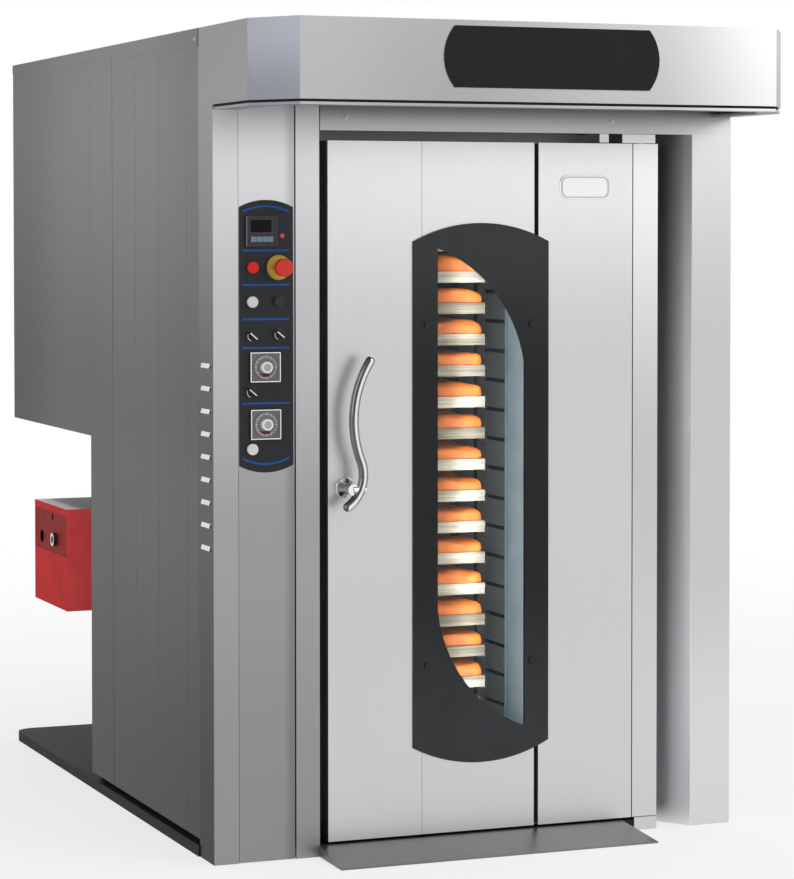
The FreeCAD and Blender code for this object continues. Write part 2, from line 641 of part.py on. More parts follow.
# ---------------------------------------------------------------- front frame of the cabinet
def corner_post(front_width):
    """An angle post: side face, front strip and two returns."""
    t, back = SHEET, PANEL_RETURN
    profile = [(0, 0), (front_width, 0), (front_width, back), (front_width - t, back),
               (front_width - t, t), (t, t), (t, POST_DEPTH - t), (back, POST_DEPTH - t),
               (back, POST_DEPTH), (0, POST_DEPTH)]
    return prism_z(profile, 0, HEIGHT - SHEET)


def corner_post_left():
    """The left post, with its row of pressed louvres."""
    post = corner_post(POST_STRIP_W - PANEL_GAP / 2)
    for n in range(LOUVRE_COUNT):
        z = LOUVRE_LOW + n * LOUVRE_PITCH
        half = LOUVRE_H / 2
        slot = box(-1, SHEET + 1, LOUVRE_Y, LOUVRE_Y + LOUVRE_LEN, z - half, z + half / 2)
        post = post.cut(slot)
        hood = polygon([(0, LOUVRE_Y, z + half), (-LOUVRE_OUT, LOUVRE_Y, z - half),
                        (-LOUVRE_OUT + 1.5, LOUVRE_Y, z - half), (SHEET, LOUVRE_Y, z + half / 2),
                        (SHEET, LOUVRE_Y, z + half)])
        post = post.fuse(hood.extrude(Vector(0, LOUVRE_LEN, 0)))
    return post.removeSplitter()


def corner_post_right():
    return mirrored(corner_post(RIGHT_COLUMN_W))


def control_cabinet_panel():
    """The cover of the control cabinet, with a rounded right edge and the cut-out for the plate."""
    left, right = POST_STRIP_W + PANEL_GAP / 2, CABINET_RIGHT - 3 * PANEL_GAP
    panel = pan(left, right, 0, PANEL_RETURN + 5, PANEL_GAP, HEIGHT - SHEET, SHEET, "+y")
    edge = [e for e in panel.Edges if abs(e.BoundBox.XMin - right) < 1e-6
            and abs(e.BoundBox.YMax) < 1e-6 and e.BoundBox.ZLength > HEIGHT / 2]
    panel = panel.makeFillet(SHEET * 0.9, edge)
    cut = box(PLATE_LEFT + CUTOUT_MARGIN, PLATE_RIGHT - CUTOUT_MARGIN, -1, SHEET + 1,
              PLATE_LOW + CUTOUT_MARGIN, PLATE_HIGH - CUTOUT_MARGIN)
    return panel.cut(cut)


def left_jamb_strip():
    """The strip beside the doorway, turned back as the left jamb, with the latch keeper in it."""
    t, left, right = SHEET, CABINET_RIGHT, COLUMN_W
    back = FRAME_Y
    profile = [(left, 0), (right, 0), (right, back), (right - t, back), (right - t, t),
               (left + t, t), (left + t, PANEL_RETURN), (left, PANEL_RETURN)]
    strip = prism_z(profile, 0, HEIGHT - SHEET)
    half_h, half_t = BOLT_H / 2 + 3, BOLT_T / 2 + 3
    keeper = box(right - KEEPER_DEPTH, right - t, BOLT_Y - half_t - t, BOLT_Y + half_t + t,
                 HANDLE_Z - half_h - t, HANDLE_Z + half_h + t)
    pocket = box(right - KEEPER_DEPTH + t, right + 1, BOLT_Y - half_t, BOLT_Y + half_t,
                 HANDLE_Z - half_h, HANDLE_Z + half_h)
    return strip.fuse(keeper).cut(pocket).removeSplitter()


def right_door_jamb():
    """The splayed sheet that leads from the right column back to the frame."""
    run = FRAME_Y - SHEET
    back_x = RIGHT_COLUMN_X - run * tan(radians(JAMB_ANGLE))
    t = SHEET / cos(radians(JAMB_ANGLE))
    profile = [(RIGHT_COLUMN_X - t, 0), (RIGHT_COLUMN_X, 0), (back_x + t, run),
               (back_x + t + PANEL_RETURN, run), (back_x + t + PANEL_RETURN, FRAME_Y),
               (back_x, FRAME_Y)]
    return prism_z(profile, 0, HEADER_BOTTOM + 60)


def header_sheet():
    """The sheet over the doorway, up inside the hood, with its lower edge turned in and two screws."""
    left, right = COLUMN_W + SHEET, WIDTH - SHEET - 1
    sheet = box(left, right, -SHEET, 0, HEADER_BOTTOM, HEIGHT - SHEET)
    lip = box(left, RIGHT_COLUMN_X - SHEET - HEADER_LIP, 0, HEADER_LIP, HEADER_BOTTOM, HEADER_BOTTOM + SHEET)
    screws = [rod_y(x, HEADER_BOTTOM + HEADER_SCREW_UP, -SHEET - 3, -SHEET, HEADER_SCREW_R)
              for x in (DOOR_LEFT + HEADER_SCREW_LEFT, DOOR_RIGHT - HEADER_SCREW_RIGHT)]
    return fuse([sheet, lip] + screws)


# ---------------------------------------------------------------- casing panels
def side_pan(y0, y1):
    return pan(0, PANEL_RETURN, y0, y1, PANEL_BOTTOM, HEIGHT - SHEET, SHEET, "+x")


def side_panel_set():
    """The four folded pans between the corner post and the back of the baking module."""
    edges = [POST_DEPTH] + list(SEAMS) + [MODULE_DEPTH]
    pans = []
    for front, rear in zip(edges[:-1], edges[1:]):
        last = rear == MODULE_DEPTH
        pans.append(side_pan(front + PANEL_GAP / 2, rear if last else rear - PANEL_GAP / 2))
    groove = box(-1, 0.8, FOLD_Y - 1.5, FOLD_Y + 1.5, PANEL_BOTTOM - 1, HEIGHT)
    pans[-1] = pans[-1].cut(groove)
    return pans


def side_panels():
    """Both sides' pans; the right side mirrors the left."""
    left = side_panel_set()
    return group(left + [mirrored(p) for p in left])


def rear_casing_panels():
    """Sides, underside and backs of the rear box and of the casing under it."""
    t, front, top = SHEET, MODULE_DEPTH + PANEL_GAP, HEIGHT - SHEET
    inside = DEPTH - t
    burner_hole = rod_x(CASING_X - 1, CASING_X + t + 1, BURNER_Y, BURNER_Z, BLAST_R + 3)
    side_left = box(0, t, front, inside, BOX_BOTTOM, top)
    underside = box(t, CASING_X, front, inside, BOX_BOTTOM, BOX_BOTTOM + t)
    module_back = box(PANEL_RETURN, WIDTH - PANEL_RETURN, MODULE_DEPTH - t, MODULE_DEPTH,
                      PANEL_BOTTOM, BOX_BOTTOM)
    casing_wall = box(CASING_X, CASING_X + t, front, inside, BASE_T, BOX_BOTTOM + t).cut(burner_hole)
    back_upper = box(0, WIDTH, inside, DEPTH, BOX_BOTTOM, top)
    back_lower = box(CASING_X, WIDTH, inside, DEPTH, BASE_T, BOX_BOTTOM - PANEL_GAP)
    side_right = box(WIDTH - t, WIDTH, front, inside, PANEL_BOTTOM, top)
    return group([side_left, underside, module_back, casing_wall, back_upper, back_lower, side_right])


def roof_sheets(x, front, rear, room):
    """The places of the two sheets beside a square opening."""
    return [(-FASCIA_T, x - room, front, rear), (x + room, WIDTH + FASCIA_T, front, rear)]


def flashing(x, y):
    """Four mitred plates that close the roof's square opening round a spigot."""
    side, hole = SPIGOT_R + FLASHING_W, SPIGOT_R + ROOF_HOLE_GAP
    low, high = HEIGHT, HEIGHT + FLASHING_T
    plates = []
    for sx, sy in ((1, 0), (0, 1), (-1, 0), (0, -1)):
        corners = [(x, y), (x + side * (sx + sy), y + side * (sy - sx)),
                   (x + side * (sx - sy), y + side * (sy + sx))]
        plates.append(prism_z(corners, low, high).cut(rod_z(x, y, low - 1, high + 1, hole)))
    return plates


def roof_panel():
    """The roof's sheets round two square openings, their flashings, and the tapering side skirts."""
    front, top, room = POST_DEPTH + 1.0, HEIGHT - SHEET, SPIGOT_R + ROOF_HOLE_GAP
    spigots = ((VENT_X, VENT_Y), (FLUE_X, DRUM_Y))
    plan, edge = [], front
    for x, y in spigots:
        plan.append((-FASCIA_T, WIDTH + FASCIA_T, edge, y - room))
        plan += roof_sheets(x, y - room, y + room, room)
        edge = y + room
    plan.append((-FASCIA_T, WIDTH + FASCIA_T, edge, DEPTH))
    skirt = prism_x([(front, HEIGHT - FASCIA_FRONT), (front, top), (DEPTH, top),
                     (DEPTH, HEIGHT - FASCIA_REAR)], -FASCIA_T, 0)
    sheets = [box(*place, top, HEIGHT) for place in plan]
    collars = [plate for x, y in spigots for plate in flashing(x, y)]
    return group(sheets + collars + [skirt, mirrored(skirt)])


def canopy_outline(inset):
    """The hood's plan outline, moved inwards by inset; its back edge stays on the front plane."""
    along = atan2(CANOPY_CORNER_Y, CANOPY_CORNER_X)
    x_cut = inset * tan(along / 2)
    y_cut = inset * tan((pi / 2 - along) / 2)
    side, front = CANOPY_SIDE - y_cut, CANOPY_REACH - inset
    return [(inset, 0), (inset, -side), (CANOPY_CORNER_X + x_cut, -front),
            (WIDTH - CANOPY_CORNER_X - x_cut, -front), (WIDTH - inset, -side), (WIDTH - inset, 0)]


def canopy_shell():
    """The hood: skin, top, shadow recess and turned-in bottom lip, open below for the steam."""
    lip_low = CANOPY_BOTTOM - CANOPY_SHADOW - CANOPY_LIP_T
    recess = 3 * SHEET
    skin = prism_z(canopy_outline(0), CANOPY_BOTTOM, HEIGHT)
    skin = skin.cut(prism_z(canopy_outline(SHEET), CANOPY_BOTTOM - 1, HEIGHT - SHEET))
    top_back = box(0, WIDTH, 0, POST_DEPTH + 1.0, HEIGHT - SHEET, HEIGHT)

    def band(outer, inner, z0, z1):
        return prism_z(canopy_outline(outer), z0, z1).cut(prism_z(canopy_outline(inner), z0 - 1, z1 + 1))
    ledge = band(SHEET, recess + SHEET, CANOPY_BOTTOM, CANOPY_BOTTOM + SHEET)
    shadow = band(recess, recess + SHEET, CANOPY_BOTTOM - CANOPY_SHADOW, CANOPY_BOTTOM + SHEET)
    lip = band(SHEET, CANOPY_LIP_IN, lip_low, CANOPY_BOTTOM - CANOPY_SHADOW)
    clear_front = box(-1, WIDTH + 1, -SHEET - 0.5, 1, lip_low - 1, CANOPY_BOTTOM + SHEET + 1)
    clear_skin = box(SHEET, WIDTH - SHEET, -SHEET - 0.5, 1, lip_low - 1, CANOPY_BOTTOM + SHEET + 1)
    inner = fuse([ledge, shadow, lip.cut(clear_front)]).cut(clear_skin)
    return fuse([skin, top_back, inner])


def sign_plate():
    """The bare black plate on the hood, with bowed ends."""
    y0, y1 = -CANOPY_REACH - SIGN_T, -CANOPY_REACH
    x0, x1 = SIGN_X - SIGN_W / 2, SIGN_X + SIGN_W / 2
    z0, z1 = SIGN_Z - SIGN_H / 2, SIGN_Z + SIGN_H / 2
    edges = [Part.LineSegment(Vector(x0, y0, z1), Vector(x1, y0, z1)),
             Part.Arc(Vector(x1, y0, z1), Vector(x1 + SIGN_BULGE, y0, SIGN_Z), Vector(x1, y0, z0)),
             Part.LineSegment(Vector(x1, y0, z0), Vector(x0, y0, z0)),
             Part.Arc(Vector(x0, y0, z0), Vector(x0 - SIGN_BULGE, y0, SIGN_Z), Vector(x0, y0, z1))]
    wire = Part.Wire([e.toShape() for e in edges])
    return Part.Face(wire).extrude(Vector(0, y1 - y0, 0))


# ---------------------------------------------------------------- baking chamber
def tray_levels():
    return [TRAY_LOW + n * TRAY_PITCH for n in range(TRAY_COUNT)]


def air_wall(x0):
    """A side wall of the chamber, with an air slot at each tray."""
    wall = box(x0, x0 + LINER_T, CHAMBER_FRONT, CHAMBER_REAR, BASE_T, CHAMBER_TOP)
    slots = [box(x0 - 1, x0 + LINER_T + 1, TABLE_Y - SLOT_L / 2, TABLE_Y + SLOT_L / 2,
                 z + TRAY_H + 14.0, z + TRAY_H + 14.0 + SLOT_H) for z in tray_levels()]
    return wall.cut(group(slots))


def chamber_liner():
    """Frame, floor, walls and ceiling of the chamber, as separate sheets."""
    jamb_run = (FRAME_Y - SHEET) * tan(radians(JAMB_ANGLE))
    frame_left, frame_right = COLUMN_W - SHEET, RIGHT_COLUMN_X - jamb_run + SHEET
    frame = [box(x0, x1, FRAME_Y, CHAMBER_FRONT, low, high) for x0, x1, low, high in (
        (frame_left, DOORWAY_LEFT, BASE_T, DOORWAY_TOP), (DOORWAY_RIGHT, frame_right, BASE_T, DOORWAY_TOP),
        (frame_left, frame_right, DOORWAY_TOP, HEADER_BOTTOM + 60))]
    floor = box(CHAMBER_LEFT, CHAMBER_RIGHT, CHAMBER_FRONT, CHAMBER_REAR, BASE_T, FLOOR_TOP)
    floor = floor.cut(rod_z(TABLE_X, TABLE_Y, BASE_T - 1, FLOOR_TOP + 1, SPINDLE_R + 10))
    left, right = CHAMBER_LEFT, CHAMBER_RIGHT
    back = box(left, right, CHAMBER_REAR - LINER_T, CHAMBER_REAR, FLOOR_TOP, CHAMBER_TOP - LINER_T)
    walls = [air_wall(left - LINER_T), air_wall(right)]
    return group(frame + [floor, back] + ceiling_sheets() + walls)


def ceiling_sheets():
    """Four sheets round the square vent outlet; the rear one has the drive shaft's hole."""
    half = VENT_OUTLET / 2
    front, rear = VENT_Y - half, VENT_Y + half
    plan = [(CHAMBER_LEFT, CHAMBER_RIGHT, CHAMBER_FRONT, front), (CHAMBER_LEFT, VENT_X - half, front, rear),
            (VENT_X + half, CHAMBER_RIGHT, front, rear), (CHAMBER_LEFT, CHAMBER_RIGHT, rear, CHAMBER_REAR)]
    sheets = [box(*place, CHAMBER_TOP - LINER_T, CHAMBER_TOP) for place in plan]
    hole = rod_z(TABLE_X, TABLE_Y, CHAMBER_TOP - LINER_T - 1, CHAMBER_TOP + 1, SHAFT_R + SHAFT_ROOM)
    return sheets[:-1] + [sheets[-1].cut(hole)]


def air_ducts():
    """The channels that feed and draw the air behind the slotted walls."""
    left_outer = CHAMBER_LEFT - LINER_T
    right_inner = CHAMBER_RIGHT + LINER_T
    top = CHAMBER_TOP - 10
    left = pan(left_outer - DUCT_LEFT_W, left_outer, DUCT_FRONT, DUCT_REAR, DUCT_LOW, top, SHEET, "+x")
    right = pan(right_inner, right_inner + DUCT_RIGHT_W, DUCT_FRONT, DUCT_REAR, DUCT_LOW, top, SHEET, "-x")
    return group([left, right])


def insulation_slabs():
    """Mineral wool beside, behind and above the chamber."""
    duct_left = CHAMBER_LEFT - LINER_T - DUCT_LEFT_W
    duct_right = CHAMBER_RIGHT + LINER_T + DUCT_RIGHT_W
    front, top = BASE_FRONT + 2, CHAMBER_TOP - 10
    rear = CHAMBER_REAR - LINER_T
    left = box(duct_left - INSULATION_T, duct_left, front, rear, INSULATION_LOW, top)
    right = box(duct_right, duct_right + INSULATION_T, front, rear, INSULATION_LOW, top)
    back = box(duct_left - INSULATION_T, duct_right + INSULATION_T, CHAMBER_REAR,
               MODULE_DEPTH - SHEET - 4, INSULATION_LOW, top)
    above = box(CHAMBER_LEFT, CHAMBER_RIGHT, CHAMBER_FRONT, CHAMBER_REAR, CHAMBER_TOP,
                CHAMBER_TOP + TOP_INSULATION_T)
    over = CHAMBER_TOP + TOP_INSULATION_T + 1
    above = above.cut(rod_z(TABLE_X, TABLE_Y, CHAMBER_TOP - 1, over, SHAFT_R + SHAFT_ROOM))
    above = above.cut(rod_z(VENT_X, VENT_Y, CHAMBER_TOP - 1, over, FLUE_R))
    return group([left, right, back, above])


def steam_generator():
    """A stack of heavy bars in the right duct, with the water pipe that sprays them."""
    x0 = CHAMBER_RIGHT + LINER_T + STEAM_GAP
    bar, pitch, end = STEAM_BAR, STEAM_PITCH, STEAM_END_T
    columns = int((DUCT_RIGHT_W - SHEET - 2 * STEAM_GAP - bar) // pitch) + 1
    low, front = DUCT_LOW + STEAM_LIFT, DUCT_FRONT + STEAM_SETBACK
    rear = front + STEAM_LEN
    bars = [box(x0 + c * pitch, x0 + c * pitch + bar, front, rear,
                low + r * pitch, low + r * pitch + bar) for c in range(columns) for r in range(STEAM_ROWS)]
    width, height = (columns - 1) * pitch + bar, (STEAM_ROWS - 1) * pitch + bar
    ends = [box(x0, x0 + width, y, y + end, low, low + height) for y in (front - end, rear)]
    feet = [box(x0, x0 + width, y, y + end, DUCT_LOW + SHEET, low) for y in (front - end, rear)]
    pipe_x, pipe_z = x0 + width / 2, low + height + WATER_PIPE_LIFT
    pipe = rod_y(pipe_x, pipe_z, front, rear, WATER_PIPE_R)
    half = end / 2
    hanger = box(pipe_x - half, pipe_x + half, front - end, front + end, low + height,
                 pipe_z + WATER_PIPE_R * 0.6)
    return fuse(bars + ends + feet + [hanger, pipe])


def door_gasket():
    """The seal on the frame beside and over the doorway, as three strips."""
    x0, x1 = DOORWAY_LEFT - 10, DOORWAY_RIGHT + 10
    z1 = DOORWAY_TOP + 10
    y0, y1 = DOOR_T + GASKET_GAP, FRAME_Y
    sides = [box(x, x + GASKET_W, y0, y1, DOOR_LOW + 4, z1) for x in (x0 - GASKET_W, x1)]
    return group(sides + [box(x0 - GASKET_W, x1 + GASKET_W, y0, y1, z1, z1 + GASKET_W)])


# ---------------------------------------------------------------- turntable, rack and drive
def turntable_platform():
    plate = rod_z(TABLE_X, TABLE_Y, PLATFORM_Z, PLATFORM_Z + PLATFORM_T, PLATFORM_R)
    spindle = rod_z(TABLE_X, TABLE_Y, SPINDLE_LOW, PLATFORM_Z, SPINDLE_R)
    return fuse([plate, spindle])


def square_tube(x0, x1, y0, y1, z0, z1, along):
    """A square tube with open ends; along is its axis, "x", "y" or "z"."""
    bore = {"x": [x0, x1], "y": [y0, y1], "z": [z0, z1]}
    for axis in bore:
        step = -1.0 if axis == along else POST_WALL
        bore[axis] = [bore[axis][0] + step, bore[axis][1] - step]
    return box(x0, x1, y0, y1, z0, z1).cut(box(*bore["x"], *bore["y"], *bore["z"]))


def rack_post_places():
    """Centres of the four posts."""
    half = POST_TUBE / 2
    return [(TABLE_X + sx * (RACK_POST_X + half), TABLE_Y + sy * (RACK_POST_Y - half))
            for sx in (-1, 1) for sy in (-1, 1)]


def caster(x, y):
    """A forked wheel under a post: the fork with its bolt heads, and the wheel between its cheeks."""
    half, inner = POST_TUBE / 2, WHEEL_W / 2
    outer, axle_z = inner + FORK_T, RACK_LOW + WHEEL_R
    cheeks = [box(x + s * inner - (FORK_T if s < 0 else 0), x + s * inner + (FORK_T if s > 0 else 0),
                  y - half, y + half, axle_z - WHEEL_BOLT_R - 2, POST_LOW) for s in (-1, 1)]
    top = box(x - outer, x + outer, y - half, y + half, POST_LOW - FORK_T, POST_LOW)
    heads = [rod_x(x + s * (outer + 1.5) - 1.5, x + s * (outer + 1.5) + 1.5, y, axle_z, WHEEL_BOLT_R)
             for s in (-1, 1)]
    return [fuse([top] + cheeks + heads), rod_x(x - inner, x + inner, y, axle_z, WHEEL_R)]


def rack_frame():
    """Four tube posts on casters, with sills, top rails and cross bars; the drive grips the middle bar."""
    half, wide = POST_TUBE / 2, POST_TUBE
    parts = []
    for x, y in rack_post_places():
        parts.append(square_tube(x - half, x + half, y - half, y + half, POST_LOW, RACK_TOP, "z"))
        parts += caster(x, y)
    run_low, run_high = TABLE_Y - RACK_POST_Y + wide, TABLE_Y + RACK_POST_Y - wide
    for x in (TABLE_X - RACK_POST_X - half, TABLE_X + RACK_POST_X + half):
        for low in (POST_LOW, RACK_TOP - wide):
            parts.append(square_tube(x - half, x + half, run_low, run_high, low, low + wide, "y"))
    for low in (TABLE_Y - RACK_POST_Y, TABLE_Y - half, TABLE_Y + RACK_POST_Y - wide):
        parts.append(square_tube(TABLE_X - RACK_POST_X, TABLE_X + RACK_POST_X, low, low + wide,
                                 RACK_TOP - wide, RACK_TOP, "x"))
    return group(parts)


def rack_runners():
    """An angle under each side of each tray, fixed to the posts' inner faces."""
    front, rear = TABLE_Y - TRAY_L / 2, TABLE_Y + TRAY_L / 2
    foot = RUNNER_W - RUNNER_T
    runners = []
    for z in tray_levels():
        profile = [(-foot, z - RUNNER_T), (RUNNER_T, z - RUNNER_T), (RUNNER_T, z + RUNNER_W - RUNNER_T),
                   (0, z + RUNNER_W - RUNNER_T), (0, z), (-foot, z)]
        for side in (-1, 1):
            corners = [(TABLE_X + side * (RUNNER_X + dx), front, level) for dx, level in profile]
            runners.append(polygon(corners).extrude(Vector(0, rear - front, 0)))
    return group(runners)


def rack_trays():
    """Eighteen flat baking trays with their rims folded down, so that loaves slide off on any side."""
    half_w, half_l = TRAY_W / 2, TRAY_L / 2
    return group([pan(TABLE_X - half_w, TABLE_X + half_w, TABLE_Y - half_l, TABLE_Y + half_l, z,
                      z + TRAY_H, TRAY_T, "-z") for z in tray_levels()])


def drive_shaft():
    """The hanging shaft that turns the rack, the fork welded under it and the gear keyed on it."""
    shaft = rod_z(TABLE_X, TABLE_Y, RACK_TOP + 20, SHAFT_TOP, SHAFT_R)
    plate = box(TABLE_X - 60, TABLE_X + 60, TABLE_Y - 32, TABLE_Y + 32, RACK_TOP + 12, RACK_TOP + 20)
    half = POST_TUBE / 2
    prongs = [box(TABLE_X - 60, TABLE_X + 60, TABLE_Y + s * (half + 1) - (8 if s < 0 else 0),
                  TABLE_Y + s * (half + 1) + (8 if s > 0 else 0), RACK_TOP - 16, RACK_TOP + 12)
              for s in (-1, 1)]
    gear = toothed_wheel(GEAR_TEETH, GEAR_W, GEAR_Z, TABLE_X, TABLE_Y, 0.0).cut(shaft)
    for n in range(6):
        turn = 2 * pi * n / 6
        x, y = TABLE_X + 0.6 * GEAR_PITCH_R * cos(turn), TABLE_Y + 0.6 * GEAR_PITCH_R * sin(turn)
        gear = gear.cut(rod_z(x, y, GEAR_Z - 1, GEAR_Z + GEAR_W + 1, 30.0))
    return group([shaft, fuse([plate] + prongs), gear])


def drive_pinion():
    """The small gear on the gearmotor's shaft; a tooth gap faces the large gear."""
    wheel = toothed_wheel(PINION_TEETH, GEAR_W, GEAR_Z, PINION_X, TABLE_Y, 180.0 + 180.0 / PINION_TEETH)
    shaft = rod_z(PINION_X, TABLE_Y, GEAR_Z + GEAR_W, BRIDGE_Z + BRIDGE_T + 22, PINION_SHAFT_R)
    return fuse([wheel, shaft])


def gearmotor():
    """Bridge plate with both bearings, gearbox and motor above the chamber."""
    x0, x1 = CHAMBER_LEFT + BRIDGE_INSET, CHAMBER_RIGHT + BRIDGE_OVERHANG
    y0, y1 = TABLE_Y - BRIDGE_D / 2, TABLE_Y + BRIDGE_D / 2
    deck = BRIDGE_Z + BRIDGE_T
    plate = box(x0, x1, y0, y1, BRIDGE_Z, deck)
    legs = [box(x, x + BRIDGE_T, y0, y1, CHAMBER_TOP + TOP_INSULATION_T, BRIDGE_Z)
            for x in (x0, CHAMBER_RIGHT - BRIDGE_T)]
    housing = rod_z(TABLE_X, TABLE_Y, deck, SHAFT_TOP - BEARING_BELOW, SHAFT_R + BEARING_WALL)
    gearbox = box(PINION_X - GEARBOX_LEFT, PINION_X + GEARBOX_RIGHT, TABLE_Y - GEARBOX_D / 2,
                  TABLE_Y + GEARBOX_D / 2, deck, deck + GEARBOX_H)
    motor_x = PINION_X + GEARBOX_RIGHT
    motor = rod_x(motor_x, motor_x + GEARMOTOR_LEN, TABLE_Y, deck + GEARMOTOR_LIFT, GEARMOTOR_R)
    whole = fuse([plate, housing, gearbox, motor] + legs)
    bore = rod_z(TABLE_X, TABLE_Y, BRIDGE_Z - 1, SHAFT_TOP + 1, SHAFT_R + RUN_CLEAR)
    pinion_bore = rod_z(PINION_X, TABLE_Y, BRIDGE_Z - 1, deck + 24, PINION_SHAFT_R + RUN_CLEAR)
    return whole.cut(bore).cut(pinion_bore)


# ---------------------------------------------------------------- hot side
def circulation_fan():
    """Fan wheel and shaft: back plate, blades and inlet ring."""
    back = rod_z(FAN_X, FAN_Y, FAN_Z + FAN_H - 4, FAN_Z + FAN_H, FAN_R)
    ring = rod_z(FAN_X, FAN_Y, FAN_Z, FAN_Z + 3, FAN_R).cut(
        rod_z(FAN_X, FAN_Y, FAN_Z - 1, FAN_Z + 4, 0.62 * FAN_R))
    blade = box(0.52 * FAN_R, 0.98 * FAN_R, -2, 2, FAN_Z, FAN_Z + FAN_H - 2)
    blade.rotate(Vector(0.52 * FAN_R, 0, 0), Vector(0, 0, 1), -35.0)
    blades = []
    for n in range(FAN_BLADES):
        one = blade.copy()
        one.rotate(Vector(0, 0, 0), Vector(0, 0, 1), 360.0 * n / FAN_BLADES)
        one.translate(Vector(FAN_X, FAN_Y, 0))
        blades.append(one)
    hub = rod_z(FAN_X, FAN_Y, FAN_Z + FAN_H - 50, FAN_Z + FAN_H, 34.0)
    shaft = rod_z(FAN_X, FAN_Y, FAN_Z + FAN_H, DECK_Z + DECK_T + FAN_SHAFT_ENTRY, FAN_SHAFT_R)
    return fuse([back, ring, hub, shaft] + blades)


def fan_motor():
    """The motor on the rear box's folded deck, with the bearing that the fan's shaft runs in."""
    top = DECK_Z + DECK_T
    deck = pan(SHEET, WIDTH - SHEET, MODULE_DEPTH + PANEL_GAP, DEPTH - SHEET, DECK_Z, top, DECK_SHEET, "-z")
    deck = deck.cut(rod_z(FLUE_X, DRUM_Y, DECK_Z - 1, top + 1, FLUE_R))
    boss = rod_z(FAN_X, FAN_Y, DECK_Z, top, FAN_SHAFT_R + 24)
    foot = rod_z(FAN_X, FAN_Y, top, top + 12, MOTOR_R + 22)
    body = rod_z(FAN_X, FAN_Y, top + 12, top + 12 + MOTOR_H, MOTOR_R)
    fins = []
    for n in range(24):
        fin = box(MOTOR_R - 2, MOTOR_R + 10, -1.5, 1.5, top + 24, top + MOTOR_H)
        fin.rotate(Vector(0, 0, 0), Vector(0, 0, 1), 15.0 * n)
        fin.translate(Vector(FAN_X, FAN_Y, 0))
        fins.append(fin)
    bore = rod_z(FAN_X, FAN_Y, DECK_Z - 1, top + FAN_SHAFT_ENTRY + 4, FAN_SHAFT_R + RUN_CLEAR)
    return fuse([deck, boss, foot, body] + fins).cut(bore)


def heat_exchanger():
    """The welded fire drum, riser, tube bank and its two header boxes."""
    drum = rod_x(DRUM_LEFT, DRUM_RIGHT, DRUM_Y, BURNER_Z, DRUM_R)
    hollow = rod_x(DRUM_LEFT + PLATE_T, DRUM_RIGHT - PLATE_T, DRUM_Y, BURNER_Z, DRUM_R - PLATE_T)
    mouth = rod_x(DRUM_LEFT - 1, DRUM_LEFT + PLATE_T + 1, DRUM_Y, BURNER_Z, BLAST_R + 3)
    riser_x, riser_half = DRUM_RIGHT - 190, 90.0
    riser = box(riser_x - riser_half, riser_x + riser_half, DRUM_Y - riser_half, DRUM_Y + riser_half,
                BURNER_Z, BANK_LOW + PLATE_T)
    riser_bore = box(riser_x - riser_half + PLATE_T, riser_x + riser_half - PLATE_T,
                     DRUM_Y - riser_half + PLATE_T, DRUM_Y + riser_half - PLATE_T,
                     BURNER_Z, BANK_LOW + PLATE_T + 1)
    half_x = TUBE_PITCH * (TUBE_COLUMNS - 1) / 2 + TUBE_R + 20
    half_y = TUBE_PITCH * (TUBE_ROWS - 1) / 2 + TUBE_R + 20
    bank_x = riser_x - half_x + riser_half + 30

    def header_box(z0, z1):
        outer = box(bank_x - half_x, bank_x + half_x, DRUM_Y - half_y, DRUM_Y + half_y, z0, z1)
        inner = box(bank_x - half_x + PLATE_T, bank_x + half_x - PLATE_T, DRUM_Y - half_y + PLATE_T,
                    DRUM_Y + half_y - PLATE_T, z0 + PLATE_T, z1 - PLATE_T)
        return outer, inner
    low_outer, low_inner = header_box(BANK_LOW, BANK_LOW + HEADER_BOX_H)
    high_outer, high_inner = header_box(BANK_HIGH - HEADER_BOX_H, BANK_HIGH)
    tubes, bores = [], []
    for c in range(TUBE_COLUMNS):
        for r in range(TUBE_ROWS):
            x = bank_x + (c - (TUBE_COLUMNS - 1) / 2) * TUBE_PITCH
            y = DRUM_Y + (r - (TUBE_ROWS - 1) / 2) * TUBE_PITCH
            tubes.append(rod_z(x, y, BANK_LOW + HEADER_BOX_H - 2, BANK_HIGH - HEADER_BOX_H + 2, TUBE_R))
            bores.append(rod_z(x, y, BANK_LOW + HEADER_BOX_H - PLATE_T - 2,
                               BANK_HIGH - HEADER_BOX_H + PLATE_T + 2, TUBE_R - SHEET))
    legs = [box(x, x + 8, DRUM_Y - 120, DRUM_Y + 120, BASE_T, BURNER_Z - DRUM_R * 0.7)
            for x in (DRUM_LEFT + 60, DRUM_RIGHT - 80)]
    whole = fuse([drum, riser, low_outer, high_outer] + tubes + legs)
    outlet = rod_z(FLUE_X, DRUM_Y, BANK_HIGH - PLATE_T - 1, BANK_HIGH + 1, FLUE_R - FLUE_T)
    return whole.cut(group([hollow, mouth, low_inner, high_inner, riser_bore, outlet] + bores))


def flue_pipe():
    """The smoke pipe and the steam vent's pipe through the roof, each with its spigot ring."""
    top = SPIGOT_TOP

    def tube(x, y, low):
        outside = fuse([rod_z(x, y, low, top, FLUE_R), rod_z(x, y, SPIGOT_LOW, top, SPIGOT_R)])
        return outside.cut(rod_z(x, y, low - 1, top + 1, FLUE_R - FLUE_T))
    flue = tube(FLUE_X, DRUM_Y, BANK_HIGH)
    flue = flue.cut(rod_x(FLUE_X - FLUE_R - 1, FLUE_X + FLUE_R + 1, DRUM_Y, DAMPER_Z,
                          DAMPER_SHAFT_R + RUN_CLEAR))
    return group([flue, tube(VENT_X, VENT_Y, CHAMBER_TOP)])


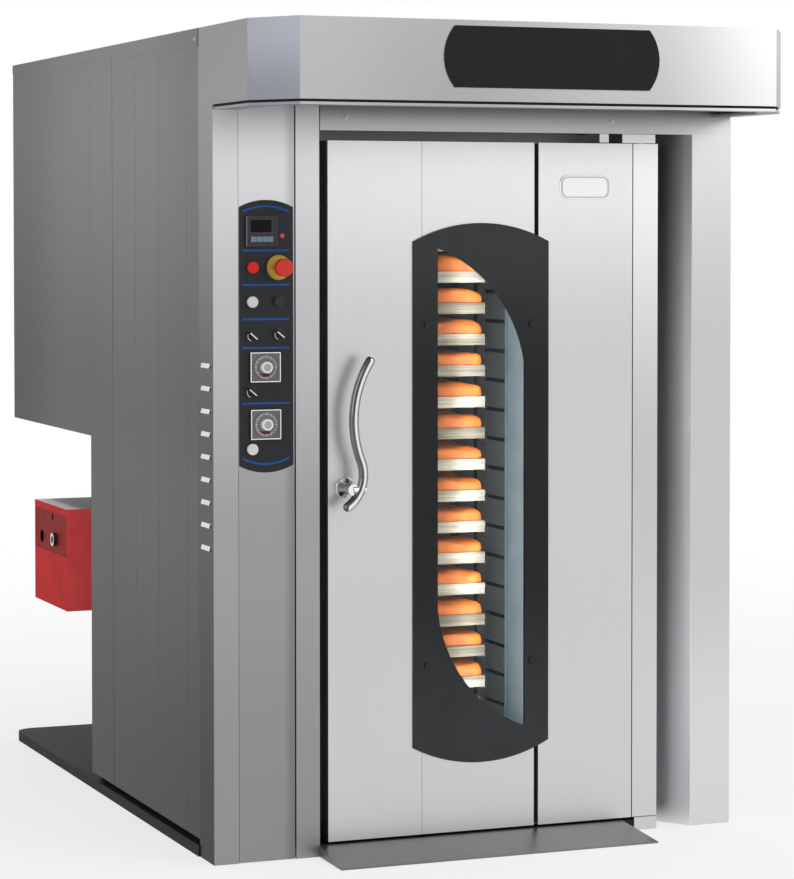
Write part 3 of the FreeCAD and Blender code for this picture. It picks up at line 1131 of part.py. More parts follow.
def flue_damper():
    """The butterfly plate in the flue, upright when open, with its shaft and outside lever."""
    disc = Part.makeCylinder(FLUE_R - FLUE_T - DAMPER_GAP, 3, Vector(FLUE_X, DRUM_Y - 1.5, DAMPER_Z),
                             Vector(0, 1, 0))
    shaft = rod_x(FLUE_X - FLUE_R - 12, FLUE_X + FLUE_R + 45, DRUM_Y, DAMPER_Z, DAMPER_SHAFT_R)
    lever = box(FLUE_X + FLUE_R + 33, FLUE_X + FLUE_R + 39, DRUM_Y - 8, DRUM_Y + 8, DAMPER_Z - 4,
                DAMPER_Z + 80)
    return fuse([disc, shaft, lever])


# ---------------------------------------------------------------- burner
def oval_x(x0, x1, y, z, half_w, half_h):
    """An upright oval plug along X."""
    middle = box(x0, x1, y - half_w, y + half_w, z - half_h + half_w, z + half_h - half_w)
    ends = [rod_x(x0, x1, y, z + s * (half_h - half_w), half_w) for s in (-1, 1)]
    return fuse([middle] + ends)


def burner_housing():
    """Red casing with a recessed control face, a lid, a black port and the reset's collar."""
    t, top = SHEET, BURNER_LOW + BURNER_H - BURNER_LID
    rear = BURNER_FRONT + BURNER_LEN
    shell = box(BURNER_LEFT, BURNER_RIGHT, BURNER_FRONT, rear, BURNER_LOW, top)
    hollow = box(BURNER_LEFT + 2 * t + 2, BURNER_RIGHT - t, BURNER_FRONT + t, rear - t, BURNER_LOW + t,
                 top - t)
    recess = box(BURNER_LEFT - 1, BURNER_LEFT + 2, BURNER_FRONT + 10, rear - 10, BURNER_Z + 10, top - 8)
    tube_hole = rod_x(BURNER_RIGHT - 5, BURNER_RIGHT + 1, BURNER_Y, BURNER_Z, BLAST_R - BLAST_WALL)
    reset_hole = rod_x(BURNER_LEFT - 1, BURNER_LEFT + 2 * t + 3, RESET_Y, RESET_Z, RESET_R - 2 + RUN_CLEAR)
    shell = shell.cut(hollow).cut(recess).cut(tube_hole).cut(reset_hole)
    socket = oval_x(BURNER_LEFT - SOCKET_OUT, BURNER_LEFT + 2, RESET_Y, RESET_Z, SOCKET_W / 2, SOCKET_H / 2)
    socket = socket.cut(rod_x(BURNER_LEFT - 3, BURNER_LEFT + 3, RESET_Y, RESET_Z, RESET_R - 2 + RUN_CLEAR))
    socket = socket.cut(rod_x(BURNER_LEFT - SOCKET_OUT - 1, BURNER_LEFT - 2, RESET_Y, RESET_Z,
                              RESET_R + RESET_ROOM))
    port = oval_x(BURNER_LEFT - 1, BURNER_LEFT + 2, PORT_Y, PORT_Z, 14.0, 19.0)
    lid = box(BURNER_LEFT, BURNER_RIGHT, BURNER_FRONT, rear, top, top + BURNER_LID)
    return group([shell, socket, port, lid])


def burner_flange():
    """The blast tube, and the flange that bolts the burner to the casing wall."""
    flange = rod_x(CASING_X - FLANGE_T, CASING_X, BURNER_Y, BURNER_Z, FLANGE_R)
    tube = rod_x(BURNER_RIGHT, DRUM_LEFT + 60, BURNER_Y, BURNER_Z, BLAST_R)
    bore = rod_x(BURNER_RIGHT - 1, DRUM_LEFT + 61, BURNER_Y, BURNER_Z, BLAST_R - BLAST_WALL)
    bolts = []
    for n in range(4):
        turn = pi / 4 + n * pi / 2
        bolts.append(rod_x(CASING_X - FLANGE_T - 7, CASING_X - FLANGE_T, BURNER_Y + 78 * cos(turn),
                           BURNER_Z + 78 * sin(turn), 7.0))
    return fuse([flange, tube] + bolts).cut(bore)


def burner_reset_button():
    cap = rod_x(BURNER_LEFT - 12, BURNER_LEFT - 2 - RESET_TRAVEL - 0.5, RESET_Y, RESET_Z, RESET_R)
    stem = rod_x(BURNER_LEFT - 12, BURNER_LEFT + 12, RESET_Y, RESET_Z, RESET_R - 2)
    return fuse([cap, stem])


# ---------------------------------------------------------------- door
def door_pan(x0, x1):
    return pan(x0, x1, 0, SKIN_T, DOOR_LOW, DOOR_TOP, SHEET, "+y")


def door_skin_left():
    """The pan that carries the handle."""
    skin = door_pan(DOOR_LEFT, SKIN_SEAM_X - SKIN_GAP / 2)
    return skin.cut(rod_y(HANDLE_X, HANDLE_Z, -1, SKIN_T, HANDLE_SPINDLE_R + HANDLE_ROOM))


def door_skin_middle():
    """The pan with the window opening; its right edge is rounded into the groove."""
    x0 = SKIN_SEAM_X + SKIN_GAP / 2
    skin = door_pan(x0, GROOVE_LEFT)
    edge = [e for e in skin.Edges if abs(e.BoundBox.XMin - GROOVE_LEFT) < 1e-6
            and abs(e.BoundBox.YMax) < 1e-6 and e.BoundBox.ZLength > HEIGHT / 2]
    skin = skin.makeFillet(SHEET * 0.9, edge)
    opening = box(APERTURE_LEFT, APERTURE_RIGHT, -1, SHEET + 1, APERTURE_LOW, APERTURE_HIGH)
    return skin.cut(opening).cut(screw_holes(-1, SHEET + 1))


def door_skin_right():
    return door_pan(GROOVE_RIGHT, DOOR_RIGHT)


def aperture_block(margin, y0, y1):
    return box(APERTURE_LEFT - margin, APERTURE_RIGHT + margin, y0, y1, APERTURE_LOW - margin,
               APERTURE_HIGH + margin)


def latch_space():
    """Room in the door for the bolt, and for its tail and the crank that turns beside it."""
    clear = BOLT_CLEAR
    bolt = box(DOOR_LEFT - 1, DOOR_LEFT + BOLT_LEN + clear, BOLT_Y - BOLT_T / 2 - clear,
               BOLT_Y + BOLT_T / 2 + clear, HANDLE_Z - BOLT_H / 2 - clear, HANDLE_Z + BOLT_H / 2 + clear)
    reach = LATCH_ARM + LATCH_PIN_R + LATCH_SLOT_CLEAR + TAIL_WALL + clear
    swing = box(DOOR_LEFT + SHEET, HANDLE_X + reach, BOLT_Y - BOLT_T / 2 - LATCH_ROOM,
                BOLT_Y + BOLT_T / 2 + clear, HANDLE_Z - reach, HANDLE_Z + BOLT_H / 2 + clear)
    spindle = rod_y(HANDLE_X, HANDLE_Z, SKIN_T - 1, BOLT_Y, HANDLE_SPINDLE_R + HANDLE_ROOM)
    return bolt, swing.fuse(spindle)


def door_core():
    """The insulation that fills the door around the window and the latch."""
    core = box(DOOR_LEFT + SHEET, DOOR_RIGHT - SHEET, SKIN_T, DOOR_T - SHEET, DOOR_LOW + SHEET,
               DOOR_TOP - SHEET)
    bolt, swing = latch_space()
    screws = [rod_y(x, z, SKIN_T - 1, SKIN_T + 4, SCREW_R + 1) for x in SCREW_X for z in SCREW_Z]
    return core.cut(aperture_block(SHEET, 0, DOOR_T)).cut(bolt).cut(swing).cut(group(screws))


def door_inner_liner():
    """The deep inner pan, with the sleeve that frames the window through the door."""
    liner = pan(DOOR_LEFT, DOOR_RIGHT, SKIN_T, DOOR_T, DOOR_LOW, DOOR_TOP, SHEET, "-y")
    sleeve = aperture_block(SHEET, SKIN_T, DOOR_T)
    bolt_hole = latch_space()[0]
    liner = fuse([liner, sleeve]).cut(aperture_block(0, 0, DOOR_T - SHEET))
    return liner.cut(aperture_block(-INNER_GLASS_LIP, 0, DOOR_T + 1)).cut(bolt_hole)


def screw_holes(y0, y1):
    return group([rod_y(x, z, y0, y1, SCREW_R + SCREW_CLEAR) for x in SCREW_X for z in SCREW_Z])


def window_panel():
    """The black surround on the front of the outer pane, with the leaf-shaped view in it."""
    panel = arc_ended_plate(WINDOW_LEFT, WINDOW_RIGHT, WINDOW_LOW, WINDOW_HIGH, WINDOW_RISE,
                            -WINDOW_T, -OUTER_GLASS_T)
    return panel.cut(leaf_plate(-WINDOW_T - 1, 0)).cut(screw_holes(-WINDOW_T - 1, 1))


def window_glass():
    """The outer pane, as large as its surround, and the inner pane on the chamber side."""
    outer = arc_ended_plate(WINDOW_LEFT, WINDOW_RIGHT, WINDOW_LOW, WINDOW_HIGH, WINDOW_RISE,
                            -OUTER_GLASS_T, 0)
    inner = aperture_block(-INNER_GLASS_CLEAR, DOOR_T - SHEET - INNER_GLASS_T, DOOR_T - SHEET)
    return group([outer.cut(screw_holes(-OUTER_GLASS_T - 1, 1)), inner])


def window_screws():
    screws = []
    for x in SCREW_X:
        for z in SCREW_Z:
            head = rod_y(x, z, -WINDOW_T - SCREW_HEAD_T, -WINDOW_T, SCREW_HEAD_R)
            shank = rod_y(x, z, -WINDOW_T, SKIN_T, SCREW_R)
            screws.append(fuse([head, shank]))
    return group(screws)


def hinge_stile():
    """The hollow pivot post beside the door, with its end plugs and pins."""
    post = box(STILE_LEFT, STILE_RIGHT, 0, STILE_DEPTH, DOOR_LOW, DOOR_TOP)
    hollow = box(STILE_LEFT + STILE_WALL, STILE_RIGHT - STILE_WALL, STILE_WALL,
                 STILE_DEPTH - STILE_WALL, DOOR_LOW + 40, DOOR_TOP - 40)
    web = box(DOOR_RIGHT, STILE_LEFT, SKIN_T + 2, STILE_DEPTH, DOOR_LOW, DOOR_TOP)
    pins = [rod_z(HINGE_X, HINGE_Y, DOOR_TOP, DOOR_TOP + PIN_LEN, PIN_R),
            rod_z(HINGE_X, HINGE_Y, DOOR_LOW - PIN_LEN, DOOR_LOW, PIN_R)]
    return fuse([post.cut(hollow), web] + pins)


def hinge_brackets():
    """The top plate and bottom block that hold the pins, and the door's stop block."""
    left, right = HINGE_X - TOP_BRACKET_LEFT, STILE_RIGHT - TOP_BRACKET_SHORT
    top = box(left, right, TOP_BRACKET_FRONT, FRAME_Y, BRACKET_TOP_LOW, HEADER_BOTTOM - 1)
    top = top.cut(rod_z(HINGE_X, HINGE_Y, BRACKET_TOP_LOW - 1, HEADER_BOTTOM, PIN_R + RUN_CLEAR))
    stop = box(DOOR_RIGHT - STOP_IN - STOP_W, DOOR_RIGHT - STOP_IN, STOP_FRONT, FRAME_Y,
               BRACKET_TOP_LOW + 1, HEADER_BOTTOM - 1)
    low = box(HINGE_X - PIN_R - HINGE_SIDE, STILE_RIGHT, 0, LOW_BRACKET_DEPTH, 0, BRACKET_LOW_TOP)
    low = low.cut(rod_z(HINGE_X, HINGE_Y, DOOR_LOW - PIN_LEN - 2, BRACKET_LOW_TOP + 1, PIN_R + RUN_CLEAR))
    return group([top, stop, low])


def handle_rosette():
    disc = rod_y(HANDLE_X, HANDLE_Z, -ROSETTE_T, 0, ROSETTE_R)
    edge = [e for e in disc.Edges if abs(e.BoundBox.YMax + ROSETTE_T) < 1e-6
            and abs(e.BoundBox.YMin + ROSETTE_T) < 1e-6]
    disc = disc.makeFillet(ROSETTE_T * 0.4, edge)
    return disc.cut(rod_y(HANDLE_X, HANDLE_Z, -ROSETTE_T - 1, 1, HANDLE_SPINDLE_R + RUN_CLEAR))


def grip_path():
    """Two tangent arcs: one through the top, leftmost and turning points, and one on to the end."""
    def point(p):
        return Vector(p[0], HANDLE_Y, p[1])
    top, left, turn, end = (point(p) for p in (GRIP_TOP, GRIP_LEFTMOST, GRIP_TURN, GRIP_END))
    upper = Part.Arc(top, left, turn)
    circle = upper.toShape().Curve
    radius_line = turn - circle.Center
    radius_line.normalize()
    chord = end - turn
    reach = chord.dot(chord) / (2 * chord.dot(radius_line))
    centre = turn + radius_line * reach
    middle = (turn + end) * 0.5 - centre
    middle.normalize()
    lower = Part.Arc(turn, centre + middle * abs(reach), end)
    return upper, lower


def crank_back():
    """Rear face of the crank, just in front of the bolt."""
    return BOLT_Y - BOLT_T / 2 - 4 * BOLT_CLEAR


def handle_lever():
    """The S-shaped grip on its hub, the spindle through the door and the pin that moves the bolt."""
    upper, lower = grip_path()
    wire = Part.Wire([upper.toShape(), lower.toShape()])
    start = upper.value(upper.FirstParameter)
    direction = upper.tangent(upper.FirstParameter)[0]
    section = Part.Wire([Part.Circle(start, direction, GRIP_R).toShape()])
    grip = wire.makePipeShell([section], True, False)
    ends = [Part.makeSphere(GRIP_R, Vector(x, HANDLE_Y, z)) for x, z in (GRIP_TOP, GRIP_END)]
    hub = rod_y(HANDLE_X, HANDLE_Z, HANDLE_Y - 4, -ROSETTE_T - 0.4, 15.0)
    arm = rod_x(HANDLE_X, HANDLE_X + 34.0, HANDLE_Y, HANDLE_Z, 10.0)
    spindle = rod_y(HANDLE_X, HANDLE_Z, -ROSETTE_T - 0.4, crank_back(), HANDLE_SPINDLE_R)
    half, crank_y = CRANK_HALF_W, crank_back() - CRANK_T
    crank = box(HANDLE_X - half, HANDLE_X + half, crank_y, crank_back(), HANDLE_Z - LATCH_ARM - half,
                HANDLE_Z + half)
    pin = rod_y(HANDLE_X, HANDLE_Z - LATCH_ARM, crank_y, BOLT_Y + BOLT_T / 2, LATCH_PIN_R)
    return fuse([grip, hub, arm, spindle, crank, pin] + ends)


def latch_bolt():
    """The sliding bolt, drawn back flush in the door's edge, with the tail slot for the pin."""
    y0, y1 = BOLT_Y - BOLT_T / 2, BOLT_Y + BOLT_T / 2
    low, high = HANDLE_Z - BOLT_H / 2, HANDLE_Z + BOLT_H / 2
    bolt = box(DOOR_LEFT, DOOR_LEFT + BOLT_LEN, y0, y1, low, high)
    half = LATCH_PIN_R + LATCH_SLOT_CLEAR
    slot_low = HANDLE_Z - LATCH_ARM - half
    slot_high = HANDLE_Z - LATCH_ARM * cos(radians(LATCH_ANGLE)) + half
    tail = box(HANDLE_X - half - TAIL_WALL, HANDLE_X + half + TAIL_WALL, y0, y1, slot_low - TAIL_WALL, low)
    return fuse([bolt, tail]).cut(box(HANDLE_X - half, HANDLE_X + half, y0 - 1, y1 + 1, slot_low, slot_high))


# ---------------------------------------------------------------- control plate and its devices
def instrument(x, z, width, height):
    """A square-fronted instrument: bezel outside the plate, body behind it."""
    front = -PLATE_THICK - BEZEL_T
    bezel = box(x - width / 2, x + width / 2, front, -PLATE_THICK, z - height / 2, z + height / 2)
    body = box(x - width / 2 + BODY_SHRINK, x + width / 2 - BODY_SHRINK, -PLATE_THICK, BODY_DEPTH,
               z - height / 2 + BODY_SHRINK, z + height / 2 - BODY_SHRINK)
    return fuse([bezel, body])


def round_switch_places():
    return [START, STOP, STEAM] + list(SELECTORS)


def control_plate():
    """The black arc-ended plate with its cut-outs, and the collar and body of each round switch."""
    plate = arc_ended_plate(PLATE_LEFT, PLATE_RIGHT, PLATE_LOW, PLATE_HIGH, PLATE_RISE, -PLATE_THICK, 0)
    cuts = []
    for x, z, w, h in [CONTROLLER] + [(x, z, TIMER_W, TIMER_H) for x, z in TIMERS]:
        cuts.append(box(x - w / 2 + BODY_SHRINK, x + w / 2 - BODY_SHRINK, -PLATE_THICK - 1, 1,
                        z - h / 2 + BODY_SHRINK, z + h / 2 - BODY_SHRINK))
    for x, z in round_switch_places():
        cuts.append(rod_y(x, z, -PLATE_THICK - 1, 1, BUTTON_STEM_R + RUN_CLEAR))
    for x, z in (LAMP, ESTOP):
        cuts.append(rod_y(x, z, -PLATE_THICK - 1, 1, ESTOP_NECK_R))
    switches = []
    for x, z in round_switch_places():
        bore = rod_y(x, z, -PLATE_THICK - COLLAR_T - 1, SWITCH_DEPTH + BUTTON_TRAVEL + 1,
                     BUTTON_STEM_R + RUN_CLEAR)
        switches.append(rod_y(x, z, -PLATE_THICK - COLLAR_T, -PLATE_THICK, COLLAR_R).cut(bore))
        switches.append(rod_y(x, z, 0, SWITCH_DEPTH + BUTTON_TRAVEL + 4, SWITCH_R).cut(bore))
    return group([plate.cut(group(cuts))] + switches)


def temperature_controller():
    x, z, w, h = CONTROLLER
    body = instrument(x, z, w, h)
    front = -PLATE_THICK - BEZEL_T
    face = box(x - w / 2 + 6, x + w / 2 - 6, front - 1, front + 1.5, z - h / 2 + 6, z + h / 2 - 6)
    body = body.cut(face)
    keys = [box(x - 30 + n * 16, x - 17 + n * 16, front, front + 1.5, z - 29, z - 15) for n in range(4)]
    return fuse([body] + keys)


def timer_bodies():
    bodies = []
    for x, z in TIMERS:
        socket = rod_y(x, z, -PLATE_THICK - BEZEL_T - 1, -PLATE_THICK + 20, 4.0 + RUN_CLEAR)
        bodies.append(instrument(x, z, TIMER_W, TIMER_H).cut(socket))
    return group(bodies)


def timer_knob(n):
    """The knob and its turning dial ring."""
    x, z = TIMERS[n]
    front = -PLATE_THICK - BEZEL_T - 0.5
    dial = rod_y(x, z, front - 2, front, DIAL_R).cut(rod_y(x, z, front - 3, front - 1, DIAL_R - 5))
    knob = rod_y(x, z, front - 16, front - 1, TIMER_KNOB_R)
    stem = rod_y(x, z, front, front + 24, 4.0)
    return fuse([dial, knob, stem])


def indicator_lamp():
    x, z = LAMP
    lens = rod_y(x, z, -PLATE_THICK - 11, -PLATE_THICK - 2, BUTTON_R)
    collar = rod_y(x, z, -PLATE_THICK - 2, -PLATE_THICK, LAMP_R)
    body = rod_y(x, z, -PLATE_THICK, SWITCH_DEPTH, ESTOP_NECK_R)
    return fuse([lens, collar, body])


def estop_base():
    """The yellow disc and switch body, bored for the mushroom's stem."""
    x, z = ESTOP
    disc = rod_y(x, z, -PLATE_THICK - ESTOP_BASE_T, -PLATE_THICK, ESTOP_BASE_R)
    front = -PLATE_THICK - ESTOP_BASE_T
    neck = rod_y(x, z, front - ESTOP_NECK_LEN, front, ESTOP_NECK_R + 4)
    body = rod_y(x, z, -PLATE_THICK, SWITCH_DEPTH, ESTOP_NECK_R)
    bore = rod_y(x, z, front - ESTOP_NECK_LEN - 1, SWITCH_DEPTH - 4, BUTTON_STEM_R + RUN_CLEAR)
    return fuse([disc, neck, body]).cut(bore)


def estop_button():
    """The red mushroom on its stem."""
    x, z = ESTOP
    back = -PLATE_THICK - ESTOP_BASE_T - ESTOP_NECK_LEN - ESTOP_TRAVEL - 1
    cap = rod_y(x, z, back - ESTOP_CAP_T, back, ESTOP_CAP_R)
    edges = [e for e in cap.Edges if e.BoundBox.YLength < 1e-6]
    cap = cap.makeFillet(4.0, [e for e in edges if e.BoundBox.YMin < back - 1])
    stem = rod_y(x, z, back, SWITCH_DEPTH - 4 - ESTOP_TRAVEL - 1, BUTTON_STEM_R)
    return fuse([cap, stem])


def push_button(place):
    """A flat round cap on a stem that runs through its collar."""
    x, z = place
    back = -PLATE_THICK - COLLAR_T - BUTTON_TRAVEL - 0.5
    cap = rod_y(x, z, back - BUTTON_H, back, BUTTON_R)
    rim = [e for e in cap.Edges if e.BoundBox.YLength < 1e-6 and e.BoundBox.YMin < back - 1]
    return fuse([cap.makeFillet(1.5, rim), rod_y(x, z, back, SWITCH_DEPTH, BUTTON_STEM_R)])


def selector_knob(n):
    """A round knob with a grip bar across it."""
    x, z = SELECTORS[n]
    back = -PLATE_THICK - COLLAR_T - 0.5
    disc = rod_y(x, z, back - 6, back, KNOB_R)
    bar = box(-4, 4, back - KNOB_H, back - 6, -KNOB_R, KNOB_R + 1)
    bar.rotate(Vector(0, 0, 0), Vector(0, 1, 0), -50.0)
    bar.translate(Vector(x, 0, z))
    stem = rod_y(x, z, back, SWITCH_DEPTH, BUTTON_STEM_R)
    return fuse([disc, bar, stem])


# ---------------------------------------------------------------- write each node
NODES = {
    "base_plate": base_plate, "threshold_ramp": threshold_ramp,
    "corner_post_left": corner_post_left, "corner_post_right": corner_post_right,
    "control_cabinet_panel": control_cabinet_panel, "left_jamb_strip": left_jamb_strip,
    "right_door_jamb": right_door_jamb, "header_sheet": header_sheet,
    "side_panels": side_panels, "rear_casing_panels": rear_casing_panels, "roof_panel": roof_panel,
    "canopy_shell": canopy_shell, "sign_plate": sign_plate,
    "chamber_liner": chamber_liner, "air_ducts": air_ducts,
    "insulation_slabs": insulation_slabs, "steam_generator": steam_generator,
    "door_gasket": door_gasket, "gearmotor": gearmotor, "fan_motor": fan_motor,
    "heat_exchanger": heat_exchanger, "flue_pipe": flue_pipe,
    "burner_housing": burner_housing, "burner_flange": burner_flange,
    "hinge_brackets": hinge_brackets, "control_plate": control_plate,
    "temperature_controller": temperature_controller, "timer_bodies": timer_bodies,
    "indicator_lamp": indicator_lamp, "estop_base": estop_base,
    "door_skin_left": door_skin_left, "door_skin_middle": door_skin_middle,
    "door_skin_right": door_skin_right, "door_core": door_core,
    "door_inner_liner": door_inner_liner, "window_panel": window_panel,
    "window_glass": window_glass, "window_screws": window_screws,
    "hinge_stile": hinge_stile, "handle_rosette": handle_rosette,
    "handle_lever": handle_lever, "latch_bolt": latch_bolt,
    "turntable_platform": turntable_platform, "rack_frame": rack_frame, "rack_runners": rack_runners,
    "rack_trays": rack_trays,
    "drive_shaft": drive_shaft, "drive_pinion": drive_pinion,
    "circulation_fan": circulation_fan, "flue_damper": flue_damper,
    "burner_reset_button": burner_reset_button, "estop_button": estop_button,
    "start_button": lambda: push_button(START), "stop_button": lambda: push_button(STOP),
    "steam_button": lambda: push_button(STEAM),
    "timer_knob_1": lambda: timer_knob(0), "timer_knob_2": lambda: timer_knob(1),
    "selector_knob_1": lambda: selector_knob(0), "selector_knob_2": lambda: selector_knob(1),
    "selector_knob_3": lambda: selector_knob(2),
}


def main():
    os.makedirs("parts", exist_ok=True)
    for name, make in NODES.items():
        shape = make()
        shape.translate(ORIGIN)
        shape.exportStep(os.path.join("parts", name + ".step"))
        print(f"{name:24s} solids {len(shape.Solids):3d} valid {shape.isValid()} volume {shape.Volume:.0f}")


main()
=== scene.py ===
"""Looks of the rotating rack oven: camera, materials, small pieces, floor and light.

Places are millimetres from the cabinet's front left corner on the floor: x to the right, y to the
rear, z up.  mm() turns them into metres in the model's frame, whose origin lies on the floor under
the middle of the whole.
"""
import bpy
import bmesh
from math import cos, pi, radians, sin, sqrt
from mathutils import Matrix, Vector, noise


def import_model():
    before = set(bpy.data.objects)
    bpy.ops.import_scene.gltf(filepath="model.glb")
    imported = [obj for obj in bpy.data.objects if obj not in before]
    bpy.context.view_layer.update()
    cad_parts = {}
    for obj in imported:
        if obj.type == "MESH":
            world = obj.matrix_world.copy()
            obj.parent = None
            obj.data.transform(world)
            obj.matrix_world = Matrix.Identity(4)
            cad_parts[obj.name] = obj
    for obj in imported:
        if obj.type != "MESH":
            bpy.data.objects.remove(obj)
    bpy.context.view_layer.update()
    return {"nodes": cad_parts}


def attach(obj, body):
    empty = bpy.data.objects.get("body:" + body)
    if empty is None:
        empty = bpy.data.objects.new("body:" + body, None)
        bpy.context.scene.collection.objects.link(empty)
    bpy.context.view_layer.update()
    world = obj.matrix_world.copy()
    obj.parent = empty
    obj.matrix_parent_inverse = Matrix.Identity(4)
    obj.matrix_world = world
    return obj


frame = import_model()
NODES = frame["nodes"]
OFFSET = Vector((-767.5, -836.0, 0.0))      # from the middle of the whole to the corner


def mm(x, y, z):
    return (Vector((x, y, z)) + OFFSET) / 1000.0


# ------------------------------------------------------------------ camera
CAMERA_AT = (-2414.3, -7360.6, 1691.9)
CAMERA_TURN = 21.742        # degrees to the right of straight ahead
CAMERA_TILT = 1.825         # downward
CAMERA_ROLL = -0.025
CAMERA_LENS = 120.39
CAMERA_SHIFT = -0.136


def make_camera():
    data = bpy.data.cameras.new("camera")
    cam = bpy.data.objects.new("camera", data)
    bpy.context.scene.collection.objects.link(cam)
    yaw, pitch, roll = radians(CAMERA_TURN), radians(CAMERA_TILT), radians(CAMERA_ROLL)
    forward = Vector((sin(yaw) * cos(pitch), cos(yaw) * cos(pitch), -sin(pitch)))
    right = Vector((cos(yaw), -sin(yaw), 0.0))
    up = right.cross(forward)
    rolled_right = right * cos(roll) + up * sin(roll)
    rolled_up = up * cos(roll) - right * sin(roll)
    basis = Matrix((rolled_right, rolled_up, -forward)).transposed()
    cam.matrix_world = Matrix.Translation(mm(*CAMERA_AT)) @ basis.to_4x4()
    data.sensor_fit = "AUTO"
    data.sensor_width = 36.0
    data.lens = CAMERA_LENS
    data.shift_y = CAMERA_SHIFT
    data.clip_end = 100.0
    bpy.context.scene.camera = cam


make_camera()


# ------------------------------------------------------------------ materials
class Graph:
    """A short way to write a node tree."""

    def __init__(self, name):
        self.mat = bpy.data.materials.new(name)
        self.mat.use_nodes = True
        self.tree = self.mat.node_tree
        self.tree.nodes.clear()
        self.out = self.add("ShaderNodeOutputMaterial")
        self.bsdf = self.add("ShaderNodeBsdfPrincipled")
        self.link(self.bsdf, "BSDF", self.out, "Surface")
        self.coord = self.add("ShaderNodeTexCoord")

    def add(self, kind, **values):
        node = self.tree.nodes.new(kind)
        for key, value in values.items():
            setattr(node, key, value)
        return node

    def link(self, a, out_name, b, socket):
        self.tree.links.new(a.outputs[out_name], b.inputs[socket])

    def value(self, socket, number):
        self.bsdf.inputs[socket].default_value = number

    def noise(self, scale, detail=3.0, rough=0.5, distort=0.0):
        """Noise over the object's own metres, stretched by a scale on each axis."""
        mapping = self.add("ShaderNodeMapping")
        mapping.inputs["Scale"].default_value = scale
        self.link(self.coord, "Object", mapping, "Vector")
        tex = self.add("ShaderNodeTexNoise")
        tex.inputs["Scale"].default_value = 1.0
        tex.inputs["Detail"].default_value = detail
        tex.inputs["Roughness"].default_value = rough
        tex.inputs["Distortion"].default_value = distort
        self.link(mapping, "Vector", tex, "Vector")
        return tex

    def spread(self, tex, low, high, start=0.3, end=0.7):
        """The noise's middle range mapped to low..high."""
        node = self.add("ShaderNodeMapRange")
        node.inputs["From Min"].default_value = start
        node.inputs["From Max"].default_value = end
        node.inputs["To Min"].default_value = low
        node.inputs["To Max"].default_value = high
        self.link(tex, "Fac", node, "Value")
        return node

    def mix(self, factor, a, b, mode="MIX"):
        """Colour mix; a and b are colours or nodes with a Color or Result output."""
        node = self.add("ShaderNodeMix", data_type="RGBA", blend_type=mode)
        if isinstance(factor, (int, float)):
            node.inputs[0].default_value = factor
        else:
            self.tree.links.new(factor.outputs[0], node.inputs[0])
        for slot, item in ((6, a), (7, b)):
            if isinstance(item, (tuple, list)):
                node.inputs[slot].default_value = (*item[:3], 1.0)
            else:
                self.tree.links.new(item.outputs[2] if item.bl_idname == "ShaderNodeMix"
                                    else item.outputs[0], node.inputs[slot])
        return node

    def slope(self, axis, start, end, tones, source="Object"):
        """Even tones between two places on an axis, in metres, as a smooth grey ramp."""
        split = self.add("ShaderNodeSeparateXYZ")
        self.link(self.coord, source, split, "Vector")
        place = self.add("ShaderNodeMapRange")
        place.inputs["From Min"].default_value = start
        place.inputs["From Max"].default_value = end
        self.link(split, axis, place, "Value")
        ramp = self.add("ShaderNodeValToRGB")
        ramp.color_ramp.interpolation = "EASE"
        stops = ramp.color_ramp.elements
        last = len(tones) - 1
        for _ in range(last - 1):
            stops.new(0.5)
        for k, tone in enumerate(tones):
            stops[k].position = k / last
            stops[k].color = (tone, tone, tone, 1.0)
        self.link(place, "Result", ramp, "Fac")
        return ramp

    def colour(self, node):
        self.tree.links.new(node.outputs[2], self.bsdf.inputs["Base Color"])

    def bump(self, source, strength, distance=0.001):
        node = self.add("ShaderNodeBump")
        node.inputs["Strength"].default_value = strength
        node.inputs["Distance"].default_value = distance
        self.tree.links.new(source.outputs[0], node.inputs["Height"])
        self.link(node, "Normal", self.bsdf, "Normal")


def shade(colour, factor):
    return tuple(min(1.0, c * factor) for c in colour)


# noise scales that draw brushing lines along an axis
BRUSH = {"z": (700.0, 700.0, 5.0), "x": (5.0, 700.0, 700.0)}
SMEARS = (60.0, 60.0, 40.0)


def steel(name, colour, rough=0.34, along="z", mottle=0.06, grain=0.02, bump=0.04,
          cloud=(0.8, 0.8, 0.5), edge=1.0, painted_light_fades=()):
    """Brushed stainless sheet: fine lines along one axis, soft clouding, slight roughness change.

    edge is the brightness at a glancing angle.  Each fade in the last argument is (axis, from, to,
    tones): painted light and shade, an even change of tone over some metres.
    """
    g = Graph(name)
    lines = g.noise(BRUSH[along], 4.0, 0.65)
    fine = g.spread(lines, 0.0, 1.0)
    clouds = g.noise(cloud, 2.0, 0.5, 0.2)
    base = g.mix(fine, shade(colour, 1.0 - grain), shade(colour, 1.0 + grain))
    soft = g.spread(clouds, 0.0, 1.0, 0.25, 0.75)
    tint = g.mix(soft, (1.0 - mottle,) * 3, (1.0, 1.0, 1.0))
    both = g.mix(1.0, base, tint, "MULTIPLY")
    for painted_light_fade in painted_light_fades:
        both = g.mix(1.0, both, g.slope(*painted_light_fade), "MULTIPLY")
    g.colour(both)
    r = g.spread(lines, rough - 0.04, rough + 0.05)
    g.link(r, "Result", g.bsdf, "Roughness")
    g.value("Metallic", 1.0)
    g.value("Specular Tint", (edge, edge, edge, 1.0))
    g.bump(fine, bump, 0.0004)
    return g.mat


def smooth_metal(name, colour, rough=0.12, spots=0.06):
    """Polished or plated metal with faint smears."""
    g = Graph(name)
    smear = g.noise(SMEARS, 4.0, 0.6, 0.8)
    f = g.spread(smear, 0.0, 1.0)
    g.colour(g.mix(f, shade(colour, 0.93), colour))
    r = g.spread(smear, rough, rough + spots)
    g.link(r, "Result", g.bsdf, "Roughness")
    g.value("Metallic", 1.0)
    g.bump(f, 0.02, 0.0002)
    return g.mat


